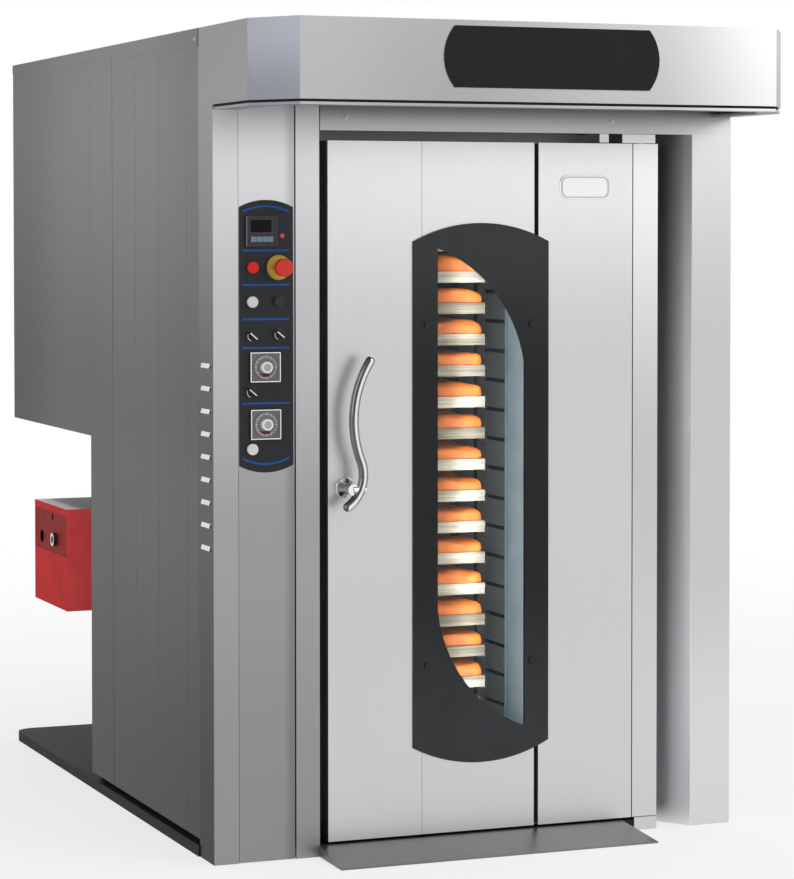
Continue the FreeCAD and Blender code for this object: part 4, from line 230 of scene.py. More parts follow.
def chrome_bar_painted_reflection(name):
    """Plated bar with painted reflections: dark where it turns to the left, bright ahead, grey to the
    right.
    """
    g = Graph(name)
    smear = g.spread(g.noise(SMEARS, 4.0, 0.6, 0.8), 0.0, 1.0)
    body = g.mix(smear, (0.82, 0.82, 0.83), (0.92, 0.92, 0.93))
    # painted reflection: the tone follows which way the surface turns
    painted_reflection = g.slope("X", -1.0, 1.0, (0.45, 0.20, 0.11, 0.16, 1.0, 0.9, 0.30, 0.34, 0.5), "Normal")
    g.colour(g.mix(1.0, body, painted_reflection, "MULTIPLY"))
    g.value("Metallic", 1.0)
    g.value("Roughness", 0.14)
    g.bump(smear, 0.02, 0.0002)
    return g.mat


def paint(name, colour, rough=0.35, coat=0.0, peel=0.15, scale=260.0, wear=0.0, metal=0.0,
          bare=(0.45, 0.45, 0.45), shine=0.5, painted_light_fades=()):
    """Paint or moulded plastic: fine peel, slight tone change, and worn flecks where asked."""
    g = Graph(name)
    grain = g.noise((scale, scale, scale), 2.0, 0.5)
    tone = g.noise((9.0, 9.0, 9.0), 3.0, 0.55)
    f = g.spread(tone, 0.0, 1.0)
    body = g.mix(f, shade(colour, 0.86), shade(colour, 1.08))
    if wear:
        scuff = g.noise((38.0, 38.0, 38.0), 6.0, 0.7, 1.2)
        mask = g.spread(scuff, 0.0, 1.0, 0.76 - wear, 0.80 - wear)
        body = g.mix(mask, body, bare)
    # painted light and shade: each fade lightens or darkens the paint evenly along an axis
    for painted_light_fade in painted_light_fades:
        body = g.mix(1.0, body, g.slope(*painted_light_fade), "MULTIPLY")
    g.colour(body)
    r = g.spread(grain, rough - 0.06, rough + 0.08)
    g.link(r, "Result", g.bsdf, "Roughness")
    g.value("Metallic", metal)
    g.value("Specular IOR Level", shine)
    if coat:
        g.value("Coat Weight", coat)
        g.value("Coat Roughness", 0.08)
    h = g.spread(grain, 0.0, 1.0)
    g.bump(h, peel, 0.0003)
    return g.mat


def tray_metal(name):
    """Tray edges: streaks along the edge and some trays browner with wear; painted shade makes them
    duller to the right.
    """
    g = Graph(name)
    streaks = g.spread(g.noise((4.0, 30.0, 230.0), 3.0, 0.6), 0.0, 1.0, 0.35, 0.65)
    worn = g.spread(g.noise((1.8, 1.0, 11.0), 2.0, 0.6, 0.3), 0.0, 1.0, 0.42, 0.56)
    clean = g.mix(streaks, (0.50, 0.47, 0.38), (0.74, 0.72, 0.63))
    brown = g.mix(streaks, (0.15, 0.135, 0.10), (0.44, 0.40, 0.30))
    tone = g.mix(worn, clean, brown)
    painted_shade_ends = g.mix(1.0, tone, g.slope("X", -0.16, 0.16, (1.1, 0.9, 0.55)), "MULTIPLY")
    g.colour(painted_shade_ends)
    g.value("Metallic", 0.35)
    g.value("Roughness", 0.5)
    g.bump(streaks, 0.15, 0.0005)
    return g.mat


def glass(name, colour, alpha, rough=0.03):
    """Thin pane: clear enough to look in, with its own gloss."""
    g = Graph(name)
    film = g.noise((7.0, 7.0, 7.0), 4.0, 0.6, 0.5)
    f = g.spread(film, 0.0, 1.0)
    g.colour(g.mix(f, shade(colour, 0.9), colour))
    a = g.spread(film, alpha - 0.02, alpha + 0.03)
    g.link(a, "Result", g.bsdf, "Alpha")
    g.value("Roughness", rough)
    g.value("IOR", 1.5)
    g.mat.blend_method = "BLEND"
    return g.mat


def glow(name, colour, strength, rough=0.25):
    """A faintly lit lens."""
    g = Graph(name)
    ribs = g.noise((420.0, 420.0, 420.0), 2.0, 0.5)
    f = g.spread(ribs, 0.0, 1.0)
    g.colour(g.mix(f, shade(colour, 0.82), shade(colour, 1.1)))
    g.value("Roughness", rough)
    g.value("Emission Color", (*colour, 1.0))
    g.value("Emission Strength", strength)
    g.value("Specular IOR Level", 0.15)
    g.bump(f, 0.1, 0.0003)
    return g.mat


def wool(name):
    """Mineral wool with its fibres mostly across the slab."""
    g = Graph(name)
    fibres = g.noise((260.0, 60.0, 260.0), 6.0, 0.8, 2.0)
    f = g.spread(fibres, 0.0, 1.0)
    g.colour(g.mix(f, (0.34, 0.30, 0.16), (0.62, 0.56, 0.34)))
    g.value("Roughness", 0.95)
    g.bump(f, 0.8, 0.003)
    return g.mat


def crust(name):
    """Baked crust: orange-brown, paler in soft patches, fine blisters."""
    g = Graph(name)
    big = g.noise((26.0, 26.0, 26.0), 4.0, 0.6, 0.4)
    small = g.noise((330.0, 330.0, 330.0), 3.0, 0.6)
    f = g.spread(big, 0.0, 1.0)
    base = g.mix(f, (0.56, 0.105, 0.008), (0.88, 0.25, 0.018))
    speck = g.spread(small, 0.0, 0.2, 0.5, 0.75)
    g.colour(g.mix(speck, base, (0.98, 0.44, 0.09)))
    r = g.spread(small, 0.38, 0.6)
    g.link(r, "Result", g.bsdf, "Roughness")
    h = g.spread(small, 0.0, 1.0)
    g.bump(h, 0.4, 0.0008)
    return g.mat


# The fades on the sheets are painted light and shade: they paint into the colour the even tone changes
# that a tall, dark-floored room puts on them, and the sheets turned away from the light are darker
# copies of the same steel.
CLEAN = (0.972, 0.968, 1.0)
# Each of these front sheets carries painted light and shade along its height.
FRONT = steel("steel_front", CLEAN, 0.33, painted_light_fades=[("Z", 0.1, 1.98, (0.67, 0.63, 0.62, 0.83))])
COLUMN = steel("steel_column", CLEAN, 0.33, painted_light_fades=[("Z", 0.3, 2.0, (0.335, 0.375, 0.54, 0.76))])
# Painted shade: the cabinet panel darkens towards its rounded right edge.
PANEL = steel("steel_panel", CLEAN, 0.33, painted_light_fades=[("Z", 0.3, 2.0, (0.31, 0.345, 0.49, 0.80)),
                                                ("X", -0.575, -0.545, (1.0, 0.72))])
RIGHT_COLUMN = steel("steel_right_column", CLEAN, 0.33,
                     painted_light_fades=[("Z", 0.2, 1.95, (0.74, 0.60, 0.58, 0.67))])
# Painted shade: the side, its corner and the casing are darker copies of the front's steel, with dimmer
# glancing edges on the side and corner, darker towards the bottom, and the side darker at its front and
# rear ends.
SIDE = steel("steel_side", CLEAN, 0.36, mottle=0.10, edge=0.45,
             painted_light_fades=[("Z", 0.1, 2.1, (0.197, 0.286, 0.59)), ("Y", -0.8, 1.2, (0.88, 1.0, 1.0, 0.77))])
CORNER = steel("steel_corner", CLEAN, 0.36, edge=0.45, painted_light_fades=[("Z", 0.1, 2.1, (0.143, 0.225, 0.73))])
CASING = steel("steel_casing", CLEAN, 0.36, mottle=0.10, painted_light_fades=[("Z", 0.1, 2.1, (0.38, 0.46, 0.56))])
# Painted shade: a dark copy of the steel for faces in shade, under the hood's lip and on the front edges
# of the roof and sides.
SHADED_EDGE = steel("steel_painted_shade", (0.16, 0.16, 0.165), 0.4)
# Painted light and shade: the hood is darker on its left and middle and lighter to the right; the
# chamfers are a darker bluish copy, lighter towards the top.
HOOD = steel("steel_hood", CLEAN, 0.33, along="x", painted_light_fades=[("X", -0.7, 0.75, (0.47, 0.37, 0.45, 0.78))])
CHAMFER = steel("steel_chamfer", (0.414, 0.431, 0.48), 0.33, painted_light_fades=[("Z", 2.02, 2.2, (0.85, 1.25))])
# Painted shadow of the hood: the header sheet is darker towards its top.
HEADER = steel("steel_header", CLEAN, 0.36, painted_light_fades=[("Z", 1.955, 2.03, (0.65, 0.205))])
JAMB = steel("steel_jamb", CLEAN, 0.36, painted_light_fades=[("Z", 0.2, 1.9, (0.83, 0.63, 0.32))])
STILE = steel("steel_stile", CLEAN, 0.33, painted_light_fades=[("Z", 0.2, 1.9, (0.68, 0.58, 0.85))])
# Painted shade: the ramp's steel is darkened to how dim it looks from the front.
RAMP_SHADED = steel("steel_ramp_painted_shade", (0.21, 0.21, 0.212), 0.42, along="x", mottle=0.12)
PIPE = steel("steel_pipe", (0.56, 0.56, 0.57), 0.36)
INNER = steel("steel_inner", (0.30, 0.31, 0.33), 0.42, mottle=0.25, cloud=(3.0, 3.0, 5.0))
LINING = steel("steel_lining", (0.40, 0.41, 0.42), 0.38, mottle=0.10)
# Painted shade: the chamber's walls are darkened for the shade inside the closed oven.
WALL_SHADE = steel("steel_chamber_painted_shade", (0.060, 0.050, 0.044), 0.55, mottle=0.5, cloud=(4.0, 4.0, 4.0))
# Painted light: the chamber's right wall is a lighter bluish copy of the walls, for the light that falls
# on it.
WALL_RIGHT_PAINTED_LIGHT = paint("chamber_right", (0.57, 0.63, 0.64), 0.45, peel=0.1, metal=0.3, shine=0.3)
# Painted reflection: the door's sleeve sides are a light blue-grey paint standing for the light they
# reflect.
REVEAL_REFLECTION = paint("sleeve_side_painted_reflection", (0.64, 0.85, 0.95), 0.40, peel=0.05, shine=0.3)
# Painted shade: the rack's steel is darkened for the shade inside the chamber.
RACK_SHADED = steel("rack_metal_painted_shade", (0.085, 0.075, 0.068), 0.45, mottle=0.4)
TRAY = tray_metal("tray_metal")
HEATED = steel("steel_heated", (0.42, 0.36, 0.31), 0.45, mottle=0.4, cloud=(5.0, 5.0, 5.0))
GEAR = steel("gear_steel", (0.42, 0.42, 0.43), 0.32, along="x", mottle=0.2)
CHROME = smooth_metal("chrome", (0.55, 0.55, 0.56), 0.10)
CHROME_BAR = chrome_bar_painted_reflection("chrome_bar_painted_reflection")
DULL_EDGE = smooth_metal("dull_edge", (0.20, 0.20, 0.21), 0.3)
DARK_CHROME = smooth_metal("dark_screw", (0.035, 0.035, 0.04), 0.25)
SCREW = smooth_metal("screw_steel", (0.60, 0.60, 0.60), 0.2)
BRIGHT = smooth_metal("bright_edge", (0.86, 0.86, 0.86), 0.3)
BASE = paint("base_paint", (0.022, 0.022, 0.023), 0.55, wear=0.06, peel=0.2,
             bare=(0.10, 0.10, 0.10), shine=0.08)
BLACK = paint("black_plate", (0.0138, 0.0145, 0.0178), 0.30, peel=0.03, scale=500.0, shine=0.25)
# Painted light and shade: the black surround is lighter towards its top and bottom, darker in the
# middle.
SURROUND = paint("black_surround", (0.024, 0.026, 0.029), 0.26, peel=0.02, scale=500.0, shine=0.22,
                 painted_light_fades=[("Z", 0.3, 1.72, (1.2, 0.35, 0.35, 1.39))])
SIGN = paint("sign_black", (0.018, 0.016, 0.015), 0.35, peel=0.02, scale=500.0, shine=0.08)
CASE = paint("instrument_case", (0.030, 0.032, 0.036), 0.5, peel=0.2, shine=0.3)
TIMER = paint("timer_face", (0.10, 0.105, 0.115), 0.38, peel=0.05)
DIAL = paint("timer_dial", (0.13, 0.135, 0.15), 0.35, peel=0.05)
DIAL_RING = paint("dial_ring", (0.34, 0.35, 0.37), 0.35, peel=0.05)
WHITE = paint("white_button", (0.583, 0.583, 0.573), 0.3, coat=0.2, peel=0.03)
# Painted highlight: the louvres' faces are painted near-white for the light they catch.
LOUVRE_HIGHLIGHT = paint("louvre_painted_highlight", (0.98, 0.98, 0.98), 0.4, peel=0.03)
BLACK_KNOB = paint("black_knob", (0.012, 0.012, 0.013), 0.34, peel=0.1, shine=0.35)
RED_KNOB = paint("red_mushroom", (0.62, 0.040, 0.022), 0.35, peel=0.04, shine=0.2)
YELLOW = paint("yellow_disc", (0.56, 0.35, 0.058), 0.4, peel=0.05, shine=0.15)
LAMP = glow("lamp_red", (0.60, 0.019, 0.0145), 0.08)
BLUE = paint("blue_line", (0.012, 0.085, 0.33), 0.45, peel=0.02, shine=0.1)
DIM_BLUE = paint("blue_sign", (0.012, 0.035, 0.12), 0.45, peel=0.02, shine=0.1)
RED_MARK = paint("red_mark", (0.11, 0.012, 0.013), 0.45, peel=0.02, shine=0.2)
RED_DOT = paint("red_dot", (0.70, 0.03, 0.035), 0.4, peel=0.02)
LIGHT_KEY = paint("light_keys", (0.13, 0.20, 0.25), 0.4, peel=0.1)
WHITE_MARK = paint("white_mark", (0.72, 0.72, 0.70), 0.4, peel=0.05)
DISPLAY = paint("display_glass", (0.010, 0.006, 0.006), 0.3, peel=0.01, shine=0.06)
BURNER = paint("burner_red", (0.60, 0.0145, 0.016), 0.5, peel=0.12, shine=0.04)
# Painted light: a brighter copy of the burner's red for its front faces.
BURNER_FRONT_PAINTED_LIGHT = paint("burner_red_front_painted_light", (0.98, 0.10, 0.10), 0.5, peel=0.12, shine=0.04)
BURNER_PORT = paint("burner_port", (0.006, 0.006, 0.007), 0.8, peel=0.1, shine=0.0)
# Painted light: the lid's top is much lighter at its left end, darker to the right.
BURNER_LID = paint("burner_lid", (0.29, 0.27, 0.29), 0.5, peel=0.25, shine=0.2,
                   painted_light_fades=[("X", -0.757, -0.665, (3.1, 2.7, 0.7, 0.5))])
BURNER_DARK = paint("burner_panel", (0.29, 0.018, 0.018), 0.5, peel=0.1, shine=0.04)
MOTOR = paint("motor_paint", (0.17, 0.19, 0.21), 0.4, coat=0.2, peel=0.3, wear=0.04)
GEARBOX = paint("gearbox_paint", (0.04, 0.10, 0.22), 0.4, coat=0.2, peel=0.3, wear=0.04)
IRON = paint("cast_iron", (0.055, 0.05, 0.048), 0.75, peel=0.9, scale=160.0, metal=0.5)
RUBBER = paint("rubber", (0.018, 0.018, 0.019), 0.8, peel=0.4, shine=0.2)
PANE = glass("window_pane", (0.06, 0.08, 0.09), 0.07)
WOOL = wool("mineral_wool")
CRUST = crust("crust")


# ------------------------------------------------------------------ dressing the CAD pieces
HOOD_LOW = 2014.0           # lower edge of the hood's skin, above the shadow recess
HOOD_RECESS = 7.5
HOOD_LIP = 2.0
LEFT_SIDE = 1.0             # just inside the plane of the left side
LOUVRE_FACE = -0.5          # just outside of it
SHEET_FRONT = -2.1          # just in front of the header sheet and of the control plate
CHAMBER_RIGHT = 1150.0
CHAMBER_FRAME = 143.5       # rear of the frame that the door closes on
CASTER_TOP = 98.0
DOOR_STRIP = 17.0           # front part of the door's core
FAN_DECK = 1956.0
DISC_FACE = -6.5            # front of the yellow disc
LAMP_RIM = -4.2
BEZEL_FACE = -9.0
KNOB_GRIP = -13.0
SLEEVE = ((620.0, 915.0), (16.0, 125.0), (290.0, 1665.0))
BURNER_LEFT = 11.9          # just outside the burner's left face
BURNER_PANEL = ((11.0, 12.5), (0.0, 3000.0), (660.0, 3000.0))
PORT = ((-100.0, BURNER_LEFT), (1780.0, 1810.0), (680.0, 720.0))
COLLAR = ((-100.0, BURNER_LEFT), (1608.0, 1650.0), (683.0, 727.0))
BURNER_TOP = 797.0


def within(c, room):
    """Whether a place lies inside a box of (low, high) pairs."""
    return all(low < value < high for value, (low, high) in zip(c, room))


def dress(material, *names):
    for name in names:
        mesh = NODES[name].data
        mesh.materials.clear()
        mesh.materials.append(material)


def repaint(name, material, test):
    """Gives the faces of a node that pass the test, on centre and normal, another material."""
    mesh = NODES[name].data
    mesh.materials.append(material)
    index = len(mesh.materials) - 1
    for face in mesh.polygons:
        c = Vector(face.center) * 1000.0 - OFFSET
        if test(c, face.normal):
            face.material_index = index


# Each steel copy below carries painted light and shade in its colour; the sides are the darker copies.
dress(FRONT, "door_skin_left", "door_skin_middle", "door_skin_right", "hinge_brackets")
dress(COLUMN, "corner_post_left", "left_jamb_strip")
dress(PANEL, "control_cabinet_panel")
repaint("corner_post_left", CORNER, lambda c, n: c.x < LEFT_SIDE and c.y > 1.0)
# Painted highlight on the louvres' faces.
repaint("corner_post_left", LOUVRE_HIGHLIGHT, lambda c, n: c.x < LOUVRE_FACE and n.x < -0.5)
dress(RIGHT_COLUMN, "corner_post_right")
dress(HEADER, "header_sheet")
repaint("header_sheet", SCREW, lambda c, n: c.y < SHEET_FRONT)
dress(STILE, "hinge_stile")
dress(JAMB, "right_door_jamb")
dress(SIDE, "side_panels", "roof_panel", "rear_casing_panels")
dress(HOOD, "canopy_shell")
# Painted shade: the hood's ends take the dark side copy of the steel, its chamfers the dark bluish one.
repaint("canopy_shell", CORNER, lambda c, n: abs(n.x) > 0.98)
repaint("canopy_shell", CHAMFER, lambda c, n: 0.2 < abs(n.x) < 0.9)
# Painted shade: the hood's recess faces take the dark rubber colour, for the shade in the recess.
repaint("canopy_shell", RUBBER, lambda c, n: HOOD_LOW - HOOD_RECESS < c.z < HOOD_LOW and abs(n.z) < 0.5)
# Painted shade under the hood's lip and on the roof's front face.
repaint("canopy_shell", SHADED_EDGE, lambda c, n: c.z < HOOD_LOW + HOOD_LIP and n.z < -0.9)
repaint("roof_panel", SHADED_EDGE, lambda c, n: n.y < -0.9)
repaint("roof_panel", CASING, lambda c, n: n.z > 0.5 or n.y > 0.5 or n.x > 0.5)
repaint("rear_casing_panels", CASING, lambda c, n: n.y > 0.5 or n.x > 0.5)
repaint("side_panels", CASING, lambda c, n: n.x > 0.5)
# Painted shade on the sides' front edges.
repaint("side_panels", SHADED_EDGE, lambda c, n: n.y < -0.9)
dress(RAMP_SHADED, "threshold_ramp")
dress(BASE, "base_plate")
dress(SIGN, "sign_plate")
dress(INNER, "air_ducts", "turntable_platform")
dress(LINING, "door_inner_liner")
# Painted reflection on the sleeve's sides.
repaint("door_inner_liner", REVEAL_REFLECTION, lambda c, n: within(c, SLEEVE))
dress(WALL_SHADE, "chamber_liner")
# Painted light on the chamber's right wall.
repaint("chamber_liner", WALL_RIGHT_PAINTED_LIGHT, lambda c, n: c.x > CHAMBER_RIGHT)
repaint("chamber_liner", INNER, lambda c, n: c.y < CHAMBER_FRAME)
dress(RACK_SHADED, "rack_frame", "rack_runners")
repaint("rack_frame", RUBBER, lambda c, n: c.z < CASTER_TOP and abs(n.x) < 0.5)
dress(TRAY, "rack_trays")
dress(WOOL, "insulation_slabs", "door_core")
repaint("door_core", RUBBER, lambda c, n: c.y < DOOR_STRIP)
dress(IRON, "steam_generator")
dress(RUBBER, "door_gasket")
dress(GEARBOX, "gearmotor")
dress(MOTOR, "fan_motor", "burner_flange")
repaint("fan_motor", INNER, lambda c, n: c.z < FAN_DECK)
dress(HEATED, "heat_exchanger", "flue_damper")
dress(PIPE, "flue_pipe", "circulation_fan")
dress(GEAR, "drive_shaft", "drive_pinion", "latch_bolt")
dress(BURNER, "burner_housing")
# Painted light on the burner's front faces.
repaint("burner_housing", BURNER_FRONT_PAINTED_LIGHT, lambda c, n: n.y < -0.9)
repaint("burner_housing", BURNER_LID, lambda c, n: c.z > BURNER_TOP and n.z > 0.9)
repaint("burner_housing", BURNER_DARK, lambda c, n: within(c, BURNER_PANEL) and n.x < -0.9)
repaint("burner_housing", BURNER_PORT, lambda c, n: within(c, PORT))
repaint("burner_housing", BLACK_KNOB, lambda c, n: within(c, COLLAR))
repaint("burner_housing", SCREW, lambda c, n: c.x < 0.0 and n.x < -0.9)
dress(WHITE, "start_button", "steam_button")
dress(BURNER_DARK, "burner_reset_button")
dress(BLACK_KNOB, "stop_button", "selector_knob_1", "selector_knob_2", "selector_knob_3")
dress(RED_KNOB, "estop_button")
dress(YELLOW, "estop_base")
repaint("estop_base", BLACK_KNOB, lambda c, n: c.y < DISC_FACE)
dress(LAMP, "indicator_lamp")
repaint("indicator_lamp", BLACK_KNOB, lambda c, n: c.y > LAMP_RIM)
dress(CASE, "temperature_controller", "timer_bodies")
repaint("timer_bodies", TIMER, lambda c, n: n.y < -0.9 and c.y < BEZEL_FACE)
dress(DIAL, "timer_knob_1", "timer_knob_2")
for knob in ("timer_knob_1", "timer_knob_2"):
    repaint(knob, WHITE_MARK, lambda c, n: c.y < KNOB_GRIP)
dress(BLACK, "control_plate")
repaint("control_plate", CASE, lambda c, n: c.y < SHEET_FRONT)
dress(SURROUND, "window_panel")
dress(PANE, "window_glass")
dress(DARK_CHROME, "window_screws")
dress(CHROME, "handle_rosette")
dress(CHROME_BAR, "handle_lever")


# ------------------------------------------------------------------ mesh pieces
def piece(name, bm, material, body, smooth=False):
    """A finished mesh object that rides on a body."""
    mesh = bpy.data.meshes.new(name)
    bm.normal_update()
    bm.to_mesh(mesh)
    bm.free()
    obj = bpy.data.objects.new(name, mesh)
    bpy.context.scene.collection.objects.link(obj)
    mesh.materials.append(material)
    for face in mesh.polygons:
        face.use_smooth = smooth
    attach(obj, body)


def skin(bm, rings):
    """Joins equal rings of vertices, one after the other, and closes both ends."""
    n = len(rings[0])
    for a, b in zip(rings[:-1], rings[1:]):
        for k in range(n):
            bm.faces.new((a[k], a[(k + 1) % n], b[(k + 1) % n], b[k]))
    bm.faces.new(rings[0][::-1])
    bm.faces.new(rings[-1])
    bmesh.ops.recalc_face_normals(bm, faces=bm.faces)


def outline_solid(bm, points, y0, y1, chamfer=0.0):
    """Adds an upright plate: (x, z) outline points in millimetres, from y0 (front) to y1."""
    cx = sum(p[0] for p in points) / len(points)
    cz = sum(p[1] for p in points) / len(points)

    def ring(y, shrink):
        verts = []
        for x, z in points:
            d = sqrt((x - cx) ** 2 + (z - cz) ** 2) or 1.0
            k = (d - shrink) / d
            verts.append(bm.verts.new(mm(cx + (x - cx) * k, y, cz + (z - cz) * k)))
        return verts
    rings = [ring(y1, 0.0), ring(y0 + chamfer, 0.0)]
    if chamfer:
        rings.append(ring(y0, chamfer))
    skin(bm, rings)


def strip_along(bm, path, half, y0, y1):
    """A flat ribbon along a path of (x, z) points, half as wide to each side."""
    rows = []
    for i, (x, z) in enumerate(path):
        ax, az = path[max(0, i - 1)]
        bx, bz = path[min(len(path) - 1, i + 1)]
        length = sqrt((bx - ax) ** 2 + (bz - az) ** 2) or 1.0
        nx, nz = -(bz - az) / length, (bx - ax) / length
        rows.append([bm.verts.new(mm(x + s * half * nx, y, z + s * half * nz))
                     for s, y in ((-1, y1), (-1, y0), (1, y0), (1, y1))])
    skin(bm, rows)


def rectangle(x0, x1, z0, z1):
    return [(x0, z0), (x1, z0), (x1, z1), (x0, z1)]


def polar(x, z, r, angle):
    return (x + r * cos(angle), z + r * sin(angle))


def circle(cx, cz, r, steps):
    return [polar(cx, cz, r, 2 * pi * k / steps) for k in range(steps)]


def rounded(x0, x1, z0, z1, r, steps=6):
    """A rectangle with its corners rounded to r."""
    points = []
    corners = ((x1 - r, z1 - r, 0), (x0 + r, z1 - r, 90), (x0 + r, z0 + r, 180), (x1 - r, z0 + r, 270))
    for cx, cz, start in corners:
        for k in range(steps + 1):
            points.append(polar(cx, cz, r, radians(start + 90.0 * k / steps)))
    return points


# -- control plate: blue lines, arcs and a thermometer sign
PLATE_FACE = -2.0           # front of the control plate
PRINT_T = 0.35              # body of the printed marks
LINE_X = (81.0, 147.0, 212.0)
LINE_Z = (1628.0, 1537.0, 1446.0, 1370.0, 1223.0)
LINE_HALF = 2.3
ARCS = ((1731.0, 14.5), (1077.0, -15.5))    # height of the ends, rise of the middle
ARC_LEFT = 82.0
ARC_STEP = 13.0
ARC_HALF = 2.5
SIGN_X = 193.0
SIGN_Z = (1674.0, 1702.0)
SIGN_HALF = 4.0
DOT_Z = 1667.0
DOT_R = 6.0


def plate_marks():
    front, back = PLATE_FACE - PRINT_T, PLATE_FACE
    bm = bmesh.new()
    for z in LINE_Z:
        strip_along(bm, [(x, z) for x in LINE_X], LINE_HALF, front, back)
    for base, rise in ARCS:
        path = [(ARC_LEFT + ARC_STEP * k, base + rise * (1.0 - ((k - 5) / 5.0) ** 2)) for k in range(11)]
        strip_along(bm, path, ARC_HALF, front, back)
    piece("plate_lines", bm, BLUE, "cabinet")
    bm = bmesh.new()
    strip_along(bm, [(SIGN_X, z) for z in SIGN_Z], SIGN_HALF, front, back)
    piece("plate_sign", bm, DIM_BLUE, "cabinet")
    bm = bmesh.new()
    outline_solid(bm, circle(SIGN_X, DOT_Z, DOT_R, 24), front, back)
    piece("plate_dot", bm, RED_DOT, "cabinet")


plate_marks()


# -- temperature controller: display window, key strip and the dull left edge
DISPLAY_AT = (102.0, 160.0, 1677.0, 1709.0)
DISPLAY_Y = (-9.6, -8.4)
KEY_COUNT = 4
KEY_LEFT = 102.0
KEY_PITCH = 15.8
KEY_W = 15.2
KEY_Z = (1650.5, 1665.0)
KEY_Y = (-11.4, -9.9)
EDGE_AT = (89.5, 91.5, 1640.0, 1718.0)
EDGE_Y = (-10.6, -9.9)


def controller_face():
    bm = bmesh.new()
    outline_solid(bm, rounded(*DISPLAY_AT, 2.0), *DISPLAY_Y, 0.4)
    piece("controller_display", bm, DISPLAY, "cabinet")
    bm = bmesh.new()
    for n in range(KEY_COUNT):
        x = KEY_LEFT + KEY_PITCH * n
        outline_solid(bm, rounded(x, x + KEY_W, *KEY_Z, 1.5), *KEY_Y, 0.4)
    piece("controller_keys", bm, LIGHT_KEY, "cabinet")
    bm = bmesh.new()
    outline_solid(bm, rectangle(*EDGE_AT), *EDGE_Y, 0.2)
    piece("controller_edge", bm, DULL_EDGE, "cabinet")


controller_face()


# -- timers: bright frame on the cabinet; scale, ring, red field and cap on the knob
TIMERS_AT = ((142.5, 1319.0), (143.5, 1167.0))
TIMER_HALF_W = 42.0
TIMER_HALF_H = 39.5
TIMER_RIM = 2.4
TIMER_RIM_Y = (-11.8, -9.8)
TICK_COUNT = 24
LONG_TICK = (25.0, 31.5)    # radii of its ends
SHORT_TICK = (27.5, 31.0)
TICK_Y = (-12.9, -12.5)
RING_R = 29.0
RING_Y = (-12.45, -12.0)
FIELD_Y = (-12.2, -11.4)
CAP_R = 10.0
CAP_Y = (-27.4, -26.4)


def timer_face(n, x, z):
    left, right = x - TIMER_HALF_W, x + TIMER_HALF_W
    foot, head = z - TIMER_HALF_H, z + TIMER_HALF_H
    bars = (rectangle(left, right, head - TIMER_RIM, head),
            rectangle(left, right, foot, foot + TIMER_RIM),
            rectangle(left, left + TIMER_RIM, foot + TIMER_RIM, head - TIMER_RIM),
            rectangle(right - TIMER_RIM, right, foot + TIMER_RIM, head - TIMER_RIM))
    bm = bmesh.new()
    for bar in bars:
        outline_solid(bm, bar, *TIMER_RIM_Y, 0.5)
    piece("timer_frame_%d" % n, bm, BRIGHT, "cabinet")
    body = "timer_knob_%d" % n
    bm = bmesh.new()
    for k in range(TICK_COUNT):
        radii = SHORT_TICK if k % 2 else LONG_TICK
        strip_along(bm, [polar(x, z, r, 2 * pi * k / TICK_COUNT) for r in radii], 0.6, *TICK_Y)
    piece("timer_ticks_%d" % n, bm, WHITE_MARK, body)
    bm = bmesh.new()
    ring = circle(x, z, RING_R, 48)
    strip_along(bm, ring + ring[:1], 2.3, *RING_Y)
    piece("timer_ring_%d" % n, bm, DIAL_RING, body)
    bm = bmesh.new()
    outline_solid(bm, rounded(x - 16.0, x + 11.0, z - 27.0, z - 17.5, 1.5), *FIELD_Y)
    piece("timer_field_%d" % n, bm, RED_MARK, body)
    bm = bmesh.new()
    outline_solid(bm, circle(x, z, CAP_R, 32), *CAP_Y, 0.4)
    piece("timer_cap_%d" % n, bm, DIAL_RING, body)


for index, (timer_x, timer_z) in enumerate(TIMERS_AT):
    timer_face(index + 1, timer_x, timer_z)


# -- selectors: light pointer line on the grip bar, and a painted highlight: a bright arc on the knob's left
SELECTORS_AT = ((106.0, 1402.0), (182.0, 1405.0), (104.0, 1253.0))
POINTER_ANGLE = 140.0       # degrees from the right, anticlockwise
POINTER_R = 12.5
POINTER_Y = (-23.0, -22.4)
HIGHLIGHT_ARC_R = 13.2
HIGHLIGHT_ARC_Y = (-11.0, -10.4)


def selector_mark_and_highlight(n, x, z):
    bm = bmesh.new()
    pointer = [polar(x, z, r, radians(POINTER_ANGLE)) for r in (-POINTER_R, POINTER_R)]
    strip_along(bm, pointer, 1.5, *POINTER_Y)
    # Painted highlight: a white arc on the knob's left edge stands for the light caught there.
    edge = [polar(x, z, HIGHLIGHT_ARC_R, radians(t)) for t in range(130, 251, 15)]
    strip_along(bm, edge, 0.8, *HIGHLIGHT_ARC_Y)
    piece("selector_mark_%d" % n, bm, WHITE_MARK, "selector_knob_%d" % n)


for index, (selector_x, selector_z) in enumerate(SELECTORS_AT):
    selector_mark_and_highlight(index + 1, selector_x, selector_z)


# -- emergency stop: fine ticks round the yellow disc
ESTOP_AT = (182.0, 1583.0)
ESTOP_TICKS = 28
ESTOP_TICK_R = (29.5, 32.6)
ESTOP_TICK_Y = (-6.3, -5.9)


def estop_ticks(x, z):
    bm = bmesh.new()
    for k in range(ESTOP_TICKS):
        angle = 2 * pi * k / ESTOP_TICKS
        strip_along(bm, [polar(x, z, r, angle) for r in ESTOP_TICK_R], 0.7, *ESTOP_TICK_Y)
    piece("estop_ticks", bm, BLACK_KNOB, "cabinet")


estop_ticks(*ESTOP_AT)


# -- burner: a narrow sight slot above the reset, on the left face
BURNER_SLOT_X = (11.2, 12.0)
BURNER_SLOT_Y = (1663.0, 1675.0)
BURNER_SLOT_Z = (764.0, 782.0)


